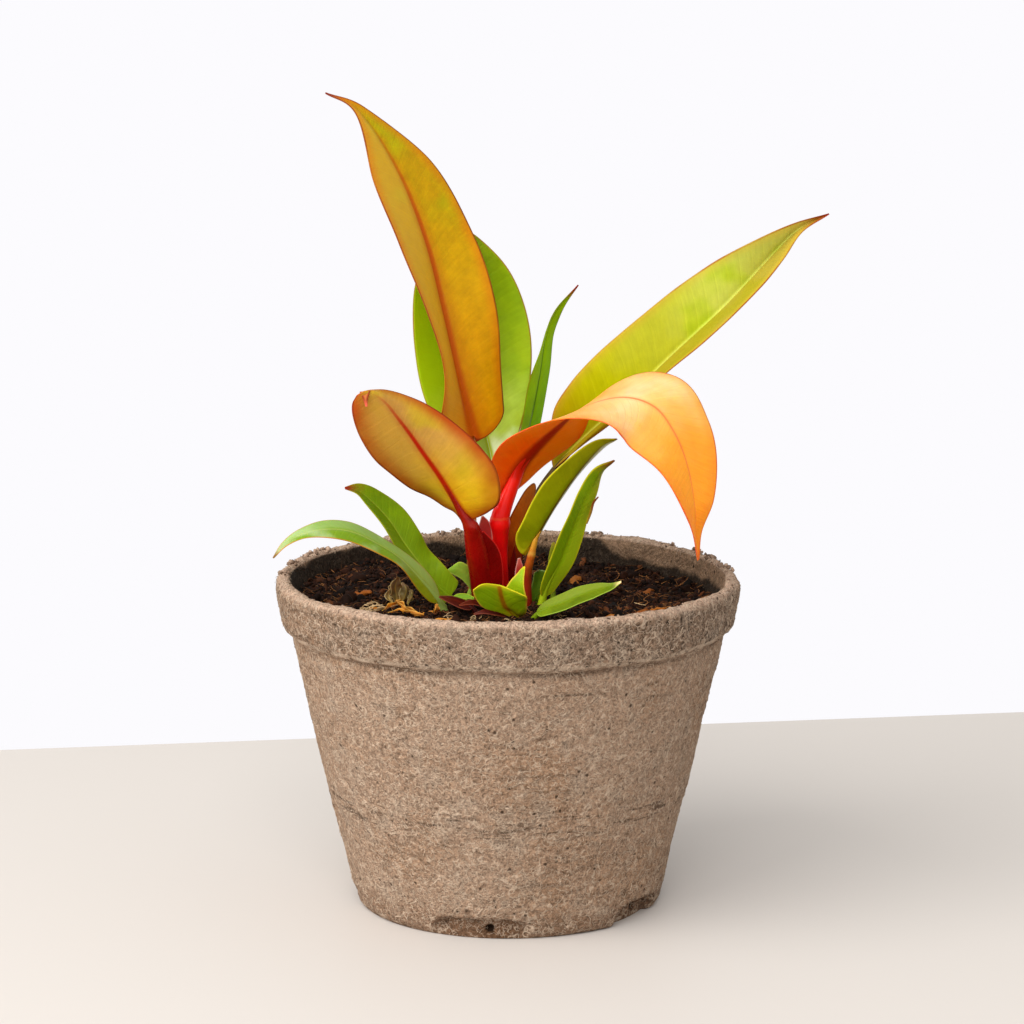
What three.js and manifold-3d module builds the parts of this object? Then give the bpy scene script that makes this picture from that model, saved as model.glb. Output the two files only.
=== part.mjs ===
// Potted prince of orange philodendron. Millimetres, +Z up, the viewer stands on -Y.
import * as THREE from 'three';
import { mergeVertices } from 'three/addons/utils/BufferGeometryUtils.js';
import Module from 'manifold-3d';

const wasm = await Module();
wasm.setup();

// Fibre pot
const POT_HEIGHT = 86;
const COLLAR_RADIUS = 60;
const BASE_RADIUS = 39.8;
const BODY_SLOPE = 0.2288;
const WALL = 5;
const FLOOR_THICKNESS = 3;
const POT_SEGMENTS = 48;
const NOTCH_COUNT = 5;
const NOTCH_FIRST_ANGLE = -16;
const NOTCH_HALF_ANGLE = 13;
const NOTCH_HEIGHT = 5.5;
const NOTCH_DEPTH = 2.6;
const DRAIN_RADIUS = 1.1;
const DRAIN_HEIGHT = 4.6;

// Soil
const SOIL_LEVEL = 79;
const SOIL_BOTTOM = 3.3;
const SOIL_EDGE = 52.7;
const CHIP_COUNT = 22;
const HOLE_CLEARANCE = 0.3;
const SOIL_ROUGHNESS = 1.0;
const RANDOM_SEED = 41;

// Leaves. Their turns are measured about the line of sight from this point.
const EYE = new THREE.Vector3(1.2, -812, 252);
const BLADE_THICKNESS = 0.7;
const BLADE_ROWS = 18;
const BLADE_COLUMNS = 3;
const SMALL_ROWS = 8;
const SMALL_COLUMNS = 2;
const STEM_SIDES = 8;
const STEM_ROWS = 8;
const SMALL_STEM_SIDES = 6;
const RIB_GAP = 0.5;

// Each leaf: midrib points, half widths, and how far each half turns out of the picture plane in degrees
// (positive toward the viewer). The lists run from the leaf joint to the tip at equal steps.
const LEAVES = {
  leaf_golden: {
    spine: [[-8.4, 3, 120.6], [-12.6, 4, 136], [-16.5, 7, 153], [-21, 11, 171], [-28, 15, 188.5],
      [-38, 18, 203.9], [-46.8, 17, 208.7]],
    wide: [10.5, 13.5, 14.6, 13.8, 10.8, 2.3, 0.3],
    left: [60, 73, 76, 60, 51, 60, 60],
    right: [-38, -32, -20, -28, -34, -50, -50],
    base: 0.06, tip: 0, lobe: 3, wave: 0.5, colour: 0xd0a018,
  },
  leaf_back: {
    spine: [[-1.8, 17, 101.2], [-4.4, 20, 113.8], [-7.5, 21.6, 128.3], [-9.2, 23.5, 143.6],
      [-11.9, 25, 158.2], [-14.6, 25.5, 168.2], [-17.6, 25.5, 174.7]],
    wide: [3.2, 7.6, 14.6, 16.4, 14.4, 9.2, 0.4],
    left: [20, 30, 25, 21, 25, 34, 30],
    right: [20, 30, 25, 21, 25, 34, 30],
    base: 0.1, tip: 0.08, lobe: 0, wave: 0.5, colour: 0x86b428,
  },
  leaf_ochre: {
    spine: [[-9.6, -13, 104], [-12.9, -15.2, 109.1], [-16.8, -17.8, 115], [-20.5, -20.4, 121],
      [-24.6, -23, 127.1], [-29, -26, 132.4], [-32.8, -28.4, 135.8], [-35.2, -31.2, 136.6],
      [-35, -33.8, 134.1]],
    wide: [7, 11.6, 12.8, 12.7, 12.2, 10.4, 6.8, 1.1, 0.4],
    left: [-68, -64, -48, -31, -20, -14, -8, -20, -30],
    right: [0, 0, -12, -36, -54, -68, -80, -74, -50],
    base: 0.08, tip: 0, lobe: 0, wave: 0.4, colour: 0xc89a3c,
  },
  leaf_long: {
    spine: [[9.8, 6, 109.6], [20, 8, 120.4], [31, 10, 130.2], [43, 12, 141.7], [56, 14, 153.6],
      [69.5, 16, 167.6], [83.3, 17, 177.6]],
    wide: [4, 12.4, 14.2, 13.6, 11.6, 6.6, 0.3],
    left: [40, 31, 20, 18, 12, 36, 50],
    right: [80, 87, 80, 78, 78, 74, 64],
    base: 0.05, tip: 0, lobe: 0, wave: 0.6, colour: 0xb9c31e,
  },
  leaf_narrow: {
    spine: [[2.4, 10, 112.3], [6, 10, 124.4], [8.4, 10, 136.5], [10, 9.4, 147], [13.1, 9, 154],
      [18.2, 8.4, 160.1]],
    wide: [3.4, 5.6, 6, 5, 2.8, 0.3],
    left: [72, 69, 70, 84, 84, 80],
    right: [-50, -62, -70, -62, -50, -50],
    base: 0.08, tip: 0, lobe: 0, wave: 0.3, colour: 0x64a028,
  },
  leaf_orange: {
    spine: [[0.8, -6.2, 108.9], [4.2, -8.5, 116.4], [11, -12.3, 124.4], [19, -16, 130.4],
      [28.5, -18.5, 134], [36.6, -21, 132.2], [41.6, -24, 126.7], [44.8, -26, 118.7],
      [46.6, -27, 109], [47.2, -26, 101.2], [47.9, -24, 94.4]],
    wide: [4.6, 8.2, 12.4, 14, 14.5, 13.5, 12.5, 9.5, 6.2, 2.8, 0.4],
    left: [25, 31, 62, 92, 118, 138, 147, 135, 122, 110, 110],
    right: [-60, -56, -60, -92, -114, -134, -134, -143, -150, -145, -140],
    base: 0.06, tip: 0, lobe: 0, wave: 0.5, colour: 0xf59a3c,
  },
  leaf_olive: {
    spine: [[6.6, -9.2, 96], [8.6, -10, 99.7], [11.8, -11, 104.8], [15.4, -12, 110.1],
      [19.4, -13, 116], [23, -15, 120.8], [27.1, -17, 123.8]],
    wide: [5, 6.8, 7.3, 7.3, 6.2, 3.4, 0.4],
    left: [30, 42, 42, 42, 50, 50, 50],
    right: [-84, -85, -86, -86, -82, -72, -60],
    base: 0.1, tip: 0, lobe: 4, wave: 0.2, colour: 0x82871e,
  },
};

const SMALL_LEAVES = {
  leaf_curled: {
    spine: [[2.4, 0.4, 88], [2.4, -0.8, 93.5], [3.4, -1.8, 99], [4.9, -3, 105], [6.8, -4, 110.5]],
    wide: [2.4, 3.2, 3.4, 2.6, 0.4],
    left: [50, 50, 50, 50, 50],
    right: [-40, -60, -60, -60, -60],
    stem: [[2.6, 2, 74], [2.6, 1.6, 82]], thick: [2.3, 2.2, 1.9, 0.5], reach: 0.3,
    base: 0.1, colour: 0x8c4a1c,
  },
  leaf_arc: {
    spine: [[-17.4, -17, 83], [-21, -19.5, 87.2], [-26.7, -22.6, 92.9], [-32.6, -25.2, 97.6],
      [-38.7, -28, 101.4], [-44.8, -31, 103.4], [-50.8, -34, 103], [-55, -36.6, 100.8],
      [-57.7, -38, 97.7]],
    wide: [2.5, 3.8, 4.8, 5.3, 5, 4.4, 2.8, 1.4, 0.3],
    left: [45, 50, 55, 56, 52, 55, 60, 60, 60],
    right: [-50, -50, -58, -63, -68, -66, -64, -60, -60],
    stem: [[-14.6, -15, 75], [-15.4, -15.6, 79.5]], thick: [1.3, 1.2, 1, 0.4], reach: 0.35,
    base: 0.08, colour: 0x8cb45a,
  },
  leaf_left_up: {
    spine: [[-15, -9.6, 82.6], [-18.9, -10.4, 86.4], [-22.8, -11, 91.5], [-26.3, -11, 96.2],
      [-30.2, -11, 101.4], [-34.6, -11.5, 106], [-38, -12.5, 109], [-41.1, -14, 110.7]],
    wide: [2.2, 3.6, 4.8, 5.2, 5.2, 4.2, 2.2, 0.4],
    left: [40, 60, 52, 62, 66, 66, 60, 60],
    right: [-20, -10, -32, -18, -25, -38, -30, -30],
    stem: [[-12.4, -8, 75], [-13, -8.4, 80]], thick: [1.5, 1.4, 1.1, 0.4], reach: 0.35,
    base: 0.08, colour: 0x64961e,
  },
  leaf_right_up: {
    spine: [[9.2, -9.6, 82], [10.9, -10, 86], [13.7, -11, 91.6], [16, -12, 98], [18.2, -13, 104],
      [20.6, -14, 109.8], [23.4, -16, 115.3], [27, -18, 118.7]],
    wide: [2, 3.2, 3.7, 3.8, 3.4, 3, 2, 0.3],
    left: [30, 36, 40, 44, 46, 36, 20, 30],
    right: [-40, -34, -28, -34, -46, -48, -75, -70],
    stem: [[8.6, -8.6, 75], [8.8, -9, 80]], thick: [1.3, 1.2, 1, 0.4], reach: 0.35,
    hook: [[19, -12, 100], [20.2, -12, 104], [21.6, -12.8, 107.6], [23.4, -13.6, 109.2]],
    hook_wide: [0.9, 0.8, 0.6, 0.3],
    base: 0.08, colour: 0x5a8c14,
  },
  leaf_right_low: {
    spine: [[7.4, -28.6, 82], [10.2, -30, 83.4], [14, -31, 84.9], [18.1, -32.4, 87], [22.3, -33.6, 88.7],
      [25.7, -35, 89.8], [28.2, -36, 91.3]],
    wide: [1.8, 2.9, 3.6, 3.6, 3, 1.6, 0.4],
    left: [-45, -48, -50, -52, -58, -60, -60],
    right: [50, 55, 60, 60, 56, 58, 60],
    stem: [[5.8, -26.6, 75], [6.2, -27.2, 79.8]], thick: [1, 0.9, 0.8, 0.4], reach: 0.3,
    base: 0.1, colour: 0x82b428,
  },
  leaf_front: {
    spine: [[2.6, -25.4, 82.8], [1.2, -27.6, 84.8], [-0.4, -29.2, 86.4], [-1.6, -30.4, 88.4]],
    wide: [3.4, 6.2, 7.2, 6.4],
    left: [20, 20, 16, 10],
    right: [-40, -40, -38, -36],
    stem: [[3.4, -23, 75], [3.2, -24, 80]], thick: [1.1, 1, 0.9, 0.4], reach: 0.4,
    hook: [[3, -26.2, 85.4], [4.1, -28, 89.8], [5.4, -29.6, 94.2]],
    hook_wide: [2.6, 2.5, 0.4],
    base: 0.2, shear: 2.4, colour: 0x96b428,
  },
  leaf_light_left: {
    spine: [[-10.6, -3, 82.4], [-12, -3.4, 86], [-13.8, -4, 88.6], [-16.2, -5, 88.8]],
    wide: [1.8, 2.8, 2.6, 0.4],
    left: [30, 40, 45, 40],
    right: [-20, -30, -35, -40],
    stem: [[-10, -2.4, 75], [-10.2, -2.6, 80]], thick: [1, 0.9, 0.8, 0.4], reach: 0.3,
    base: 0.1, colour: 0x8cbe50,
  },
  leaf_light_low: {
    spine: [[-9.6, -13.4, 82], [-11.2, -13.8, 83.6], [-12.8, -14.4, 84], [-14.2, -15, 83.2]],
    wide: [1.2, 1.8, 1.6, 0.4],
    left: [50, 50, 50, 50],
    right: [-50, -50, -50, -50],
    stem: [[-8.6, -13, 75], [-8.8, -13, 80]], thick: [0.9, 0.8, 0.7, 0.4], reach: 0.3,
    base: 0.1, colour: 0x78aa46,
  },
  leaf_dark_back: {
    spine: [[7, -2.4, 82.2], [7.6, -2.6, 85], [8.2, -2.8, 88], [8.8, -3, 90.6]],
    wide: [1.6, 2.6, 2.4, 0.5],
    left: [20, 20, 20, 20],
    right: [-40, -40, -40, -40],
    stem: [[6.8, -1, 75], [6.8, -1.6, 80]], thick: [1, 0.9, 0.8, 0.4], reach: 0.3,
    base: 0.1, colour: 0x467828,
  },
  leaf_yellow_back: {
    spine: [[12, -2.4, 82.4], [12.2, -2.8, 87], [12, -3.4, 91.4], [11.8, -4, 95]],
    wide: [1.2, 1.9, 1.6, 0.4],
    left: [30, 30, 30, 30],
    right: [-30, -30, -30, -30],
    stem: [[11.6, -1.8, 75], [11.8, -2, 80]], thick: [0.9, 0.8, 0.7, 0.4], reach: 0.3,
    base: 0.1, colour: 0x96a028,
  },
  scale_leaf_red: {
    spine: [[-8.6, -21.4, 81.8], [-11, -21, 82.6], [-14, -20.4, 83.6], [-17.2, -20, 84.2]],
    wide: [1.4, 1.9, 1.6, 0.4],
    left: [40, 40, 40, 40],
    right: [-60, -60, -60, -60],
    stem: [[-6.6, -21.6, 75], [-7.2, -21.6, 80]], thick: [1, 0.9, 0.7, 0.4], reach: 0.3,
    base: 0.1, colour: 0x7d2d23,
  },
};

// Stems: points and radii from the soil up. Each then runs on as a rib along its leaf, on the underside,
// for the given share of the leaf's length.
const STEMS = {
  stem_golden: {
    leaf: 'leaf_golden', path: [[-6.5, 2.5, 74], [-7, 3.2, 90], [-8, 4.6, 108], [-8.6, 5.4, 118]],
    radius: [1.8, 1.6, 1.5, 1.4], under: 1, reach: 0.5, rib: [1.2, 0.45], colour: 0xb43c14,
  },
  stem_back: {
    leaf: 'leaf_back', lift: 0.3, path: [[-1, 8, 74], [-1.4, 11.8, 86], [-1.7, 17, 96.2]],
    radius: [1.6, 1.5, 1.4], under: 1, reach: 0.45, rib: [1.1, 0.45], colour: 0x96b446,
  },
  stem_narrow: {
    leaf: 'leaf_narrow', lift: 1, path: [[4.5, 7.2, 74], [3.8, 8.2, 92], [2.9, 9.8, 106]],
    radius: [1.3, 1.2, 1], under: 1, reach: 0.4, rib: [0.8, 0.4], colour: 0x647828,
  },
  stem_long: {
    leaf: 'leaf_long', path: [[8, 4, 74], [8.4, 5, 90], [9, 6.6, 103]],
    radius: [1.7, 1.6, 1.4], under: 1, reach: 0.5, rib: [1.2, 0.45], colour: 0x6e3c14,
  },
  stem_ochre: {
    leaf: 'leaf_ochre', lift: 0.2, path: [[-5.6, -5, 74], [-6, -6, 84], [-7.4, -8.6, 92], [-8.6, -11.4, 98],
      [-9.2, -13.6, 101.4]],
    radius: [3.3, 3.4, 3.1, 2.4, 1.9], under: -1, reach: 0.5, rib: [1.4, 0.45], colour: 0x8c0f0a,
    flap: [[-3.6, -9, 80.8], [-3.8, -9.6, 87], [-4.6, -10.4, 93.5], [-6.8, -12, 99.2]],
    flap_wide: [1.8, 2.6, 2.5, 0.8], flap_turn: [35, -35],
  },
  stem_orange: {
    leaf: 'leaf_orange', path: [[-1.2, -1.5, 74], [-1.5, -2, 84], [-1.8, -4, 92], [-1.9, -6.4, 98],
      [-1.9, -7.8, 101.5], [-1.4, -8.6, 104.4]],
    radius: [1.9, 1.9, 1.8, 2.3, 2.6, 2.3], under: -1, reach: 0.3, rib: [2, 0.5], colour: 0xdc1414,
  },
  stem_olive: {
    leaf: 'leaf_olive', path: [[6, -5.2, 74], [5.5, -6.4, 86], [6.2, -8.4, 91.4]],
    radius: [1.5, 1.3, 1.1], under: -1, reach: 0.14, rib: [0.8, 0.5], colour: 0xb4641e,
    flap: [[3.6, -6.8, 83], [3.2, -7.2, 87.4], [3, -7.4, 91.6]],
    flap_wide: [1.5, 1.5, 0.4], flap_turn: [30, -30],
  },
};

// Catmull-Rom value of a list of numbers or points at t from 0 to 1.
function along(list, t) {
  const last = list.length - 1;
  const s = Math.min(Math.max(t * last, 0), last - 1e-9);
  const i = Math.floor(s);
  const f = s - i;
  const pick = (k, c) => (Array.isArray(list[k]) ? list[k][c] : list[k]);
  const value = (c) => {
    const p1 = pick(i, c);
    const p2 = pick(i + 1, c);
    const p0 = i > 0 ? pick(i - 1, c) : 2 * p1 - p2;
    const p3 = i + 2 <= last ? pick(i + 2, c) : 2 * p2 - p1;
    return 0.5 * (2 * p1 + (p2 - p0) * f + (2 * p0 - 5 * p1 + 4 * p2 - p3) * f * f
      + (3 * p1 - p0 - 3 * p2 + p3) * f * f * f);
  };
  return Array.isArray(list[0]) ? new THREE.Vector3(value(0), value(1), value(2)) : value(0);
}

function halfWidth(leaf, u) {
  let w = along(leaf.wide, u);
  if (leaf.base && u < leaf.base) {
    w *= Math.sqrt(Math.max(0, 1 - (1 - u / leaf.base) ** 2));
  }
  if (leaf.tip && u > 1 - leaf.tip) {
    w *= Math.sqrt(Math.max(0, 1 - (1 - (1 - u) / leaf.tip) ** 2));
  }
  return Math.max(w, 0.3);
}

// The midrib's place and direction, and the directions to the viewer's left and toward the viewer.
function midrib(leaf, u) {
  const step = 0.08;
  const place = along(leaf.spine, u);
  const ahead = along(leaf.spine, Math.min(1, u + step));
  const run = ahead.sub(along(leaf.spine, Math.max(0, u - step))).normalize();
  const sight = place.clone().sub(EYE).normalize();
  const left = run.clone().cross(sight).normalize();
  const toward = run.clone().cross(left);
  return { place, run, left, toward };
}

function sideDirection(rib, degrees, sign) {
  const a = THREE.MathUtils.degToRad(degrees);
  return rib.left.clone().multiplyScalar(sign * Math.cos(a)).addScaledVector(rib.toward, Math.sin(a));
}

// The direction between the faces of both halves, as if the blade were flat across.
function flatNormal(leaf, u) {
  const rib = midrib(leaf, u);
  const leftOut = sideDirection(rib, along(leaf.left, u), 1);
  const rightOut = sideDirection(rib, along(leaf.right, u), -1);
  return leftOut.sub(rightOut).cross(rib.run).normalize();
}

// A point of the blade: v runs from -1 at the left edge over 0 at the midrib to 1 at the right edge.
function bladePoint(leaf, u, v) {
  const rib = midrib(leaf, u);
  const side = Math.abs(v);
  const sign = v < 0 ? 1 : -1;
  const turn = along(v < 0 ? leaf.left : leaf.right, u);
  const out = sideDirection(rib, turn, sign);
  const lift = sideDirection(rib, turn + 90, sign);
  const w = halfWidth(leaf, u);
  const point = rib.place.clone().addScaledVector(out, w * side);
  if (leaf.lobe && u < 0.4) {
    point.addScaledVector(rib.run, -leaf.lobe * side ** 1.5 * (1 - u / 0.4) ** 2);
  }
  if (leaf.shear) point.addScaledVector(rib.run, (-leaf.shear * v * side * w) / Math.max(...leaf.wide));
  if (leaf.wave) {
    const phase = v < 0 ? 0 : 0.37;
    const ripple = Math.sin(2 * Math.PI * (2.2 * u + phase)) * Math.sin(Math.PI * u);
    point.addScaledVector(lift, leaf.wave * side * side * ripple);
  }
  return point;
}

function meshGeometry(points, faces) {
  const geometry = new THREE.BufferGeometry();
  geometry.setAttribute('position', new THREE.Float32BufferAttribute(points.flat(), 3));
  geometry.setIndex(faces.flat());
  return geometry;
}

// Closed thin blade: the same grid on both faces, joined round the edge.
function bladeGeometry(leaf, rows, columns) {
  const wide = 2 * columns + 1;
  const across = (j) => (j - columns) / columns;
  const face = [[], []];
  for (let i = 0; i <= rows; i += 1) {
    for (let j = 0; j < wide; j += 1) {
      const u = i / rows;
      const v = across(j);
      const e = 0.02;
      const centre = bladePoint(leaf, u, v);
      const alongLeaf = bladePoint(leaf, Math.min(1, u + e), v)
        .sub(bladePoint(leaf, Math.max(0, u - e), v));
      const acrossLeaf = bladePoint(leaf, u, Math.min(1, v + 0.3))
        .sub(bladePoint(leaf, u, Math.max(-1, v - 0.3)));
      const normal = alongLeaf.cross(acrossLeaf).normalize();
      const narrow = THREE.MathUtils.clamp((4 - halfWidth(leaf, u)) / 2.5, 0, 1);
      normal.multiplyScalar(1 - narrow).addScaledVector(flatNormal(leaf, u), narrow).normalize();
      face[0].push(centre.clone().addScaledVector(normal, BLADE_THICKNESS / 2).toArray());
      face[1].push(centre.clone().addScaledVector(normal, -BLADE_THICKNESS / 2).toArray());
    }
  }
  const back = (rows + 1) * wide;
  const faces = [];
  for (let i = 0; i < rows; i += 1) {
    for (let j = 0; j < wide - 1; j += 1) {
      const a = i * wide + j;
      const b = a + wide;
      faces.push([a, b, b + 1], [a, b + 1, a + 1]);
      faces.push([back + a, back + b + 1, back + b], [back + a, back + a + 1, back + b + 1]);
    }
  }
  const rim = [];
  for (let j = 0; j < wide - 1; j += 1) rim.push(j);
  for (let i = 0; i < rows; i += 1) rim.push(i * wide + wide - 1);
  for (let j = wide - 1; j > 0; j -= 1) rim.push(rows * wide + j);
  for (let i = rows; i > 0; i -= 1) rim.push(i * wide);
  for (let k = 0; k < rim.length; k += 1) {
    const a = rim[k];
    const b = rim[(k + 1) % rim.length];
    faces.push([a, b, back + b], [a, back + b, back + a]);
  }
  return meshGeometry([...face[0], ...face[1]], faces);
}

// Closed round tube along points with a radius at each.
function tubeGeometry(points, radii, sides) {
  const ring = [];
  let reference = new THREE.Vector3(1, 0, 0);
  points.forEach((point, i) => {
    const ahead = points[Math.min(i + 1, points.length - 1)];
    const run = ahead.clone().sub(points[Math.max(i - 1, 0)]).normalize();
    reference = reference.clone().addScaledVector(run, -reference.dot(run)).normalize();
    const second = run.clone().cross(reference);
    for (let k = 0; k < sides; k += 1) {
      const a = (2 * Math.PI * k) / sides;
      ring.push(point.clone().addScaledVector(reference, radii[i] * Math.cos(a))
        .addScaledVector(second, radii[i] * Math.sin(a)).toArray());
    }
  });
  const faces = [];
  for (let i = 0; i + 1 < points.length; i += 1) {
    for (let k = 0; k < sides; k += 1) {
      const a = i * sides + k;
      const b = i * sides + ((k + 1) % sides);
      faces.push([a, b, b + sides], [a, b + sides, a + sides]);
    }
  }
  const first = ring.length;
  ring.push(points[0].toArray());
  ring.push(points[points.length - 1].toArray());
  const end = (points.length - 1) * sides;
  for (let k = 0; k < sides; k += 1) {
    const next = (k + 1) % sides;
    faces.push([first, next, k], [first + 1, end + k, end + next]);
  }
  return meshGeometry(ring, faces);
}

function toSolid(geometry) {
  const index = geometry.getIndex();
  return new wasm.Manifold(new wasm.Mesh({
    numProp: 3,
    vertProperties: new Float32Array(geometry.getAttribute('position').array),
    triVerts: new Uint32Array(index.array),
  }));
}

function fromSolid(solid) {
  const mesh = solid.getMesh();
  const geometry = new THREE.BufferGeometry();
  geometry.setAttribute('position', new THREE.Float32BufferAttribute(mesh.vertProperties, 3));
  geometry.setIndex(Array.from(mesh.triVerts));
  return geometry;
}

function weld(source) {
  const geometry = source.clone();
  geometry.deleteAttribute('normal');
  geometry.deleteAttribute('uv');
  return mergeVertices(geometry, 1e-4);
}

// Pot: one closed profile turned about the axis, from the axis out under the base, up, over the lip and back.
function outerRadius(z) {
  return BASE_RADIUS + BODY_SLOPE * z;
}

function innerRadius(z) {
  return outerRadius(z) - WALL;
}

function potSolid() {
  const profile = [[0, 0], [BASE_RADIUS - 1.4, 0], [BASE_RADIUS - 0.4, 0.4], [outerRadius(1.6), 1.6]];
  profile.push([outerRadius(34), 34], [outerRadius(65), 65], [outerRadius(68) + 0.3, 68]);
  profile.push([56.3, 70.5], [58.3, 72.6], [59, 74.8], [59.5, 79], [COLLAR_RADIUS, 83.2]);
  profile.push([59.6, 84.8], [58.6, 85.8], [57.4, POT_HEIGHT]);
  profile.push([56, 85.8], [55, 85], [innerRadius(83), 83], [innerRadius(44), 44]);
  profile.push([innerRadius(4), FLOOR_THICKNESS + 1.4], [innerRadius(4) - 1.6, FLOOR_THICKNESS]);
  profile.push([0, FLOOR_THICKNESS]);
  const turned = new THREE.LatheGeometry(profile.map(([r, z]) => new THREE.Vector2(r, z)), POT_SEGMENTS);
  turned.rotateX(Math.PI / 2);
  let pot = toSolid(weld(turned));
  for (let k = 0; k < NOTCH_COUNT; k += 1) {
    const angle = THREE.MathUtils.degToRad(NOTCH_FIRST_ANGLE + (360 / NOTCH_COUNT) * k - 90);
    const notch = notchGeometry();
    notch.rotateZ(angle);
    pot = pot.subtract(toSolid(weld(notch)));
    const drain = new THREE.CylinderGeometry(DRAIN_RADIUS, DRAIN_RADIUS, 12, 10);
    drain.rotateZ(Math.PI / 2);
    drain.translate(BASE_RADIUS - WALL / 2, 0, DRAIN_HEIGHT);
    drain.rotateZ(angle);
    pot = pot.subtract(toSolid(weld(drain)));
  }
  return pot;
}

// Arched recess at the bottom corner of the pot, drawn about +X.
function notchGeometry() {
  const half = THREE.MathUtils.degToRad(NOTCH_HALF_ANGLE) * BASE_RADIUS;
  const shape = new THREE.Shape();
  shape.moveTo(-half, -1);
  shape.lineTo(half, -1);
  shape.lineTo(half * 0.93, NOTCH_HEIGHT * 0.6);
  shape.quadraticCurveTo(half * 0.8, NOTCH_HEIGHT, half * 0.5, NOTCH_HEIGHT);
  shape.lineTo(-half * 0.5, NOTCH_HEIGHT);
  shape.quadraticCurveTo(-half * 0.8, NOTCH_HEIGHT, -half * 0.93, NOTCH_HEIGHT * 0.6);
  const notch = new THREE.ExtrudeGeometry(shape, { depth: 12, bevelEnabled: false, curveSegments: 3 });
  notch.rotateX(Math.PI / 2);
  notch.rotateZ(Math.PI / 2);
  const place = notch.getAttribute('position');
  for (let i = 0; i < place.count; i += 1) {
    const across = place.getY(i);
    const bend = across * across / (2 * BASE_RADIUS);
    place.setX(i, place.getX(i) - bend + BASE_RADIUS - NOTCH_DEPTH);
  }
  return notch;
}

// Soil: a lumpy top by formula, sides that follow the pot's inner wall, and sunk bark chips.
function soilHeight(x, y) {
  const r = Math.hypot(x, y) / SOIL_EDGE;
  const lumps = 0.5 * Math.sin(0.23 * x + 1.1) * Math.cos(0.19 * y - 0.6)
    + 0.3 * Math.sin(0.41 * x - 0.33 * y) + 0.2 * Math.cos(0.62 * y + 0.47 * x + 2);
  return SOIL_LEVEL + SOIL_ROUGHNESS * lumps * Math.min(1, 5 * (1 - r)) + 1.6 * r * r;
}

function soilSolid() {
  const rings = 7;
  const sides = 36;
  const points = [[0, 0, soilHeight(0, 0)]];
  for (let i = 1; i <= rings; i += 1) {
    const r = (SOIL_EDGE * i) / rings;
    for (let k = 0; k < sides; k += 1) {
      const a = (2 * Math.PI * (k + 0.5 * (i % 2))) / sides;
      const x = r * Math.cos(a);
      const y = r * Math.sin(a);
      points.push([x, y, soilHeight(x, y)]);
    }
  }
  const low = innerRadius(SOIL_BOTTOM) - 1.8;
  for (let k = 0; k < sides; k += 1) {
    const a = (2 * Math.PI * (k + 0.5 * (rings % 2))) / sides;
    points.push([low * Math.cos(a), low * Math.sin(a), SOIL_BOTTOM]);
  }
  points.push([0, 0, SOIL_BOTTOM]);
  const faces = [];
  const at = (i, k) => 1 + (i - 1) * sides + (k % sides);
  for (let k = 0; k < sides; k += 1) faces.push([0, at(1, k), at(1, k + 1)]);
  for (let i = 1; i <= rings; i += 1) {
    for (let k = 0; k < sides; k += 1) {
      const skew = i < rings && i % 2 === 1;
      if (skew) {
        faces.push([at(i, k), at(i + 1, k), at(i + 1, k + 1)], [at(i, k), at(i + 1, k + 1), at(i, k + 1)]);
      } else {
        faces.push([at(i, k), at(i + 1, k), at(i, k + 1)], [at(i, k + 1), at(i + 1, k), at(i + 1, k + 1)]);
      }
    }
  }
  for (let k = 0; k < sides; k += 1) faces.push([points.length - 1, at(rings + 1, k + 1), at(rings + 1, k)]);
  return toSolid(meshGeometry(points, faces));
}

function randomDraw(seed) {
  let state = seed;
  return () => {
    state = (state * 1664525 + 1013904223) % 4294967296;
    return state / 4294967296;
  };
}

// Whether a low part of a small leaf lies over this spot of the soil.
function nearBlade(x, y) {
  return Object.values(SMALL_LEAVES).some((leaf) => [...leaf.stem, ...leaf.spine].some((p) => (
    p[2] < 89 && Math.hypot(p[0] - x, p[1] - y) < 7)));
}

function barkChips() {
  const draw = randomDraw(RANDOM_SEED);
  const chips = [];
  for (let k = 0; k < CHIP_COUNT; k += 1) {
    const r = 15 + 33 * Math.sqrt(draw());
    const a = 2.39996 * k;
    const x = r * Math.cos(a);
    const y = r * Math.sin(a);
    if (nearBlade(x, y)) continue;
    const chip = new THREE.IcosahedronGeometry(1, 0);
    chip.scale(1.5 + 2.4 * draw(), 0.9 + 0.9 * draw(), 0.8 + 0.5 * draw());
    chip.rotateX(0.5 * (draw() - 0.5));
    chip.rotateZ(Math.PI * draw());
    chip.translate(x, y, soilHeight(x, y) + 0.1);
    chips.push(toSolid(weld(chip)));
  }
  return chips;
}

// Stem path: the free part, then points held off the leaf's midrib on its underside.
function stemLine(stem) {
  const points = [];
  const radii = [];
  const free = STEM_ROWS;
  for (let i = 0; i < free; i += 1) {
    const t = i / (free - 1);
    points.push(along(stem.path, t));
    radii.push(along(stem.radius, t));
  }
  const leaf = LEAVES[stem.leaf];
  const steps = STEM_ROWS;
  for (let i = 1; i <= steps; i += 1) {
    const u = 0.03 + (stem.reach - 0.03) * ((i - 1) / (steps - 1));
    const away = flatNormal(leaf, u);
    const radius = stem.rib[0] + (stem.rib[1] - stem.rib[0]) * ((i - 1) / (steps - 1));
    const hold = radius + BLADE_THICKNESS / 2 + RIB_GAP + (stem.lift || 0);
    points.push(along(leaf.spine, u).addScaledVector(away, stem.under * hold));
    radii.push(radius);
  }
  return { points, radii };
}

function grownTube(points, radii, extra, sides) {
  return toSolid(tubeGeometry(points, radii.map((r) => r + extra), sides));
}

// The part of a stem below and just above the soil, a little larger and deeper: its plain hole.
function holeSolid(path, radius, sides) {
  const first = path[0].clone();
  first.z -= 0.3;
  const points = [first, ...path.slice(1)];
  return grownTube(points, radius, HOLE_CLEARANCE / Math.cos(Math.PI / sides), sides);
}

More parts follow.
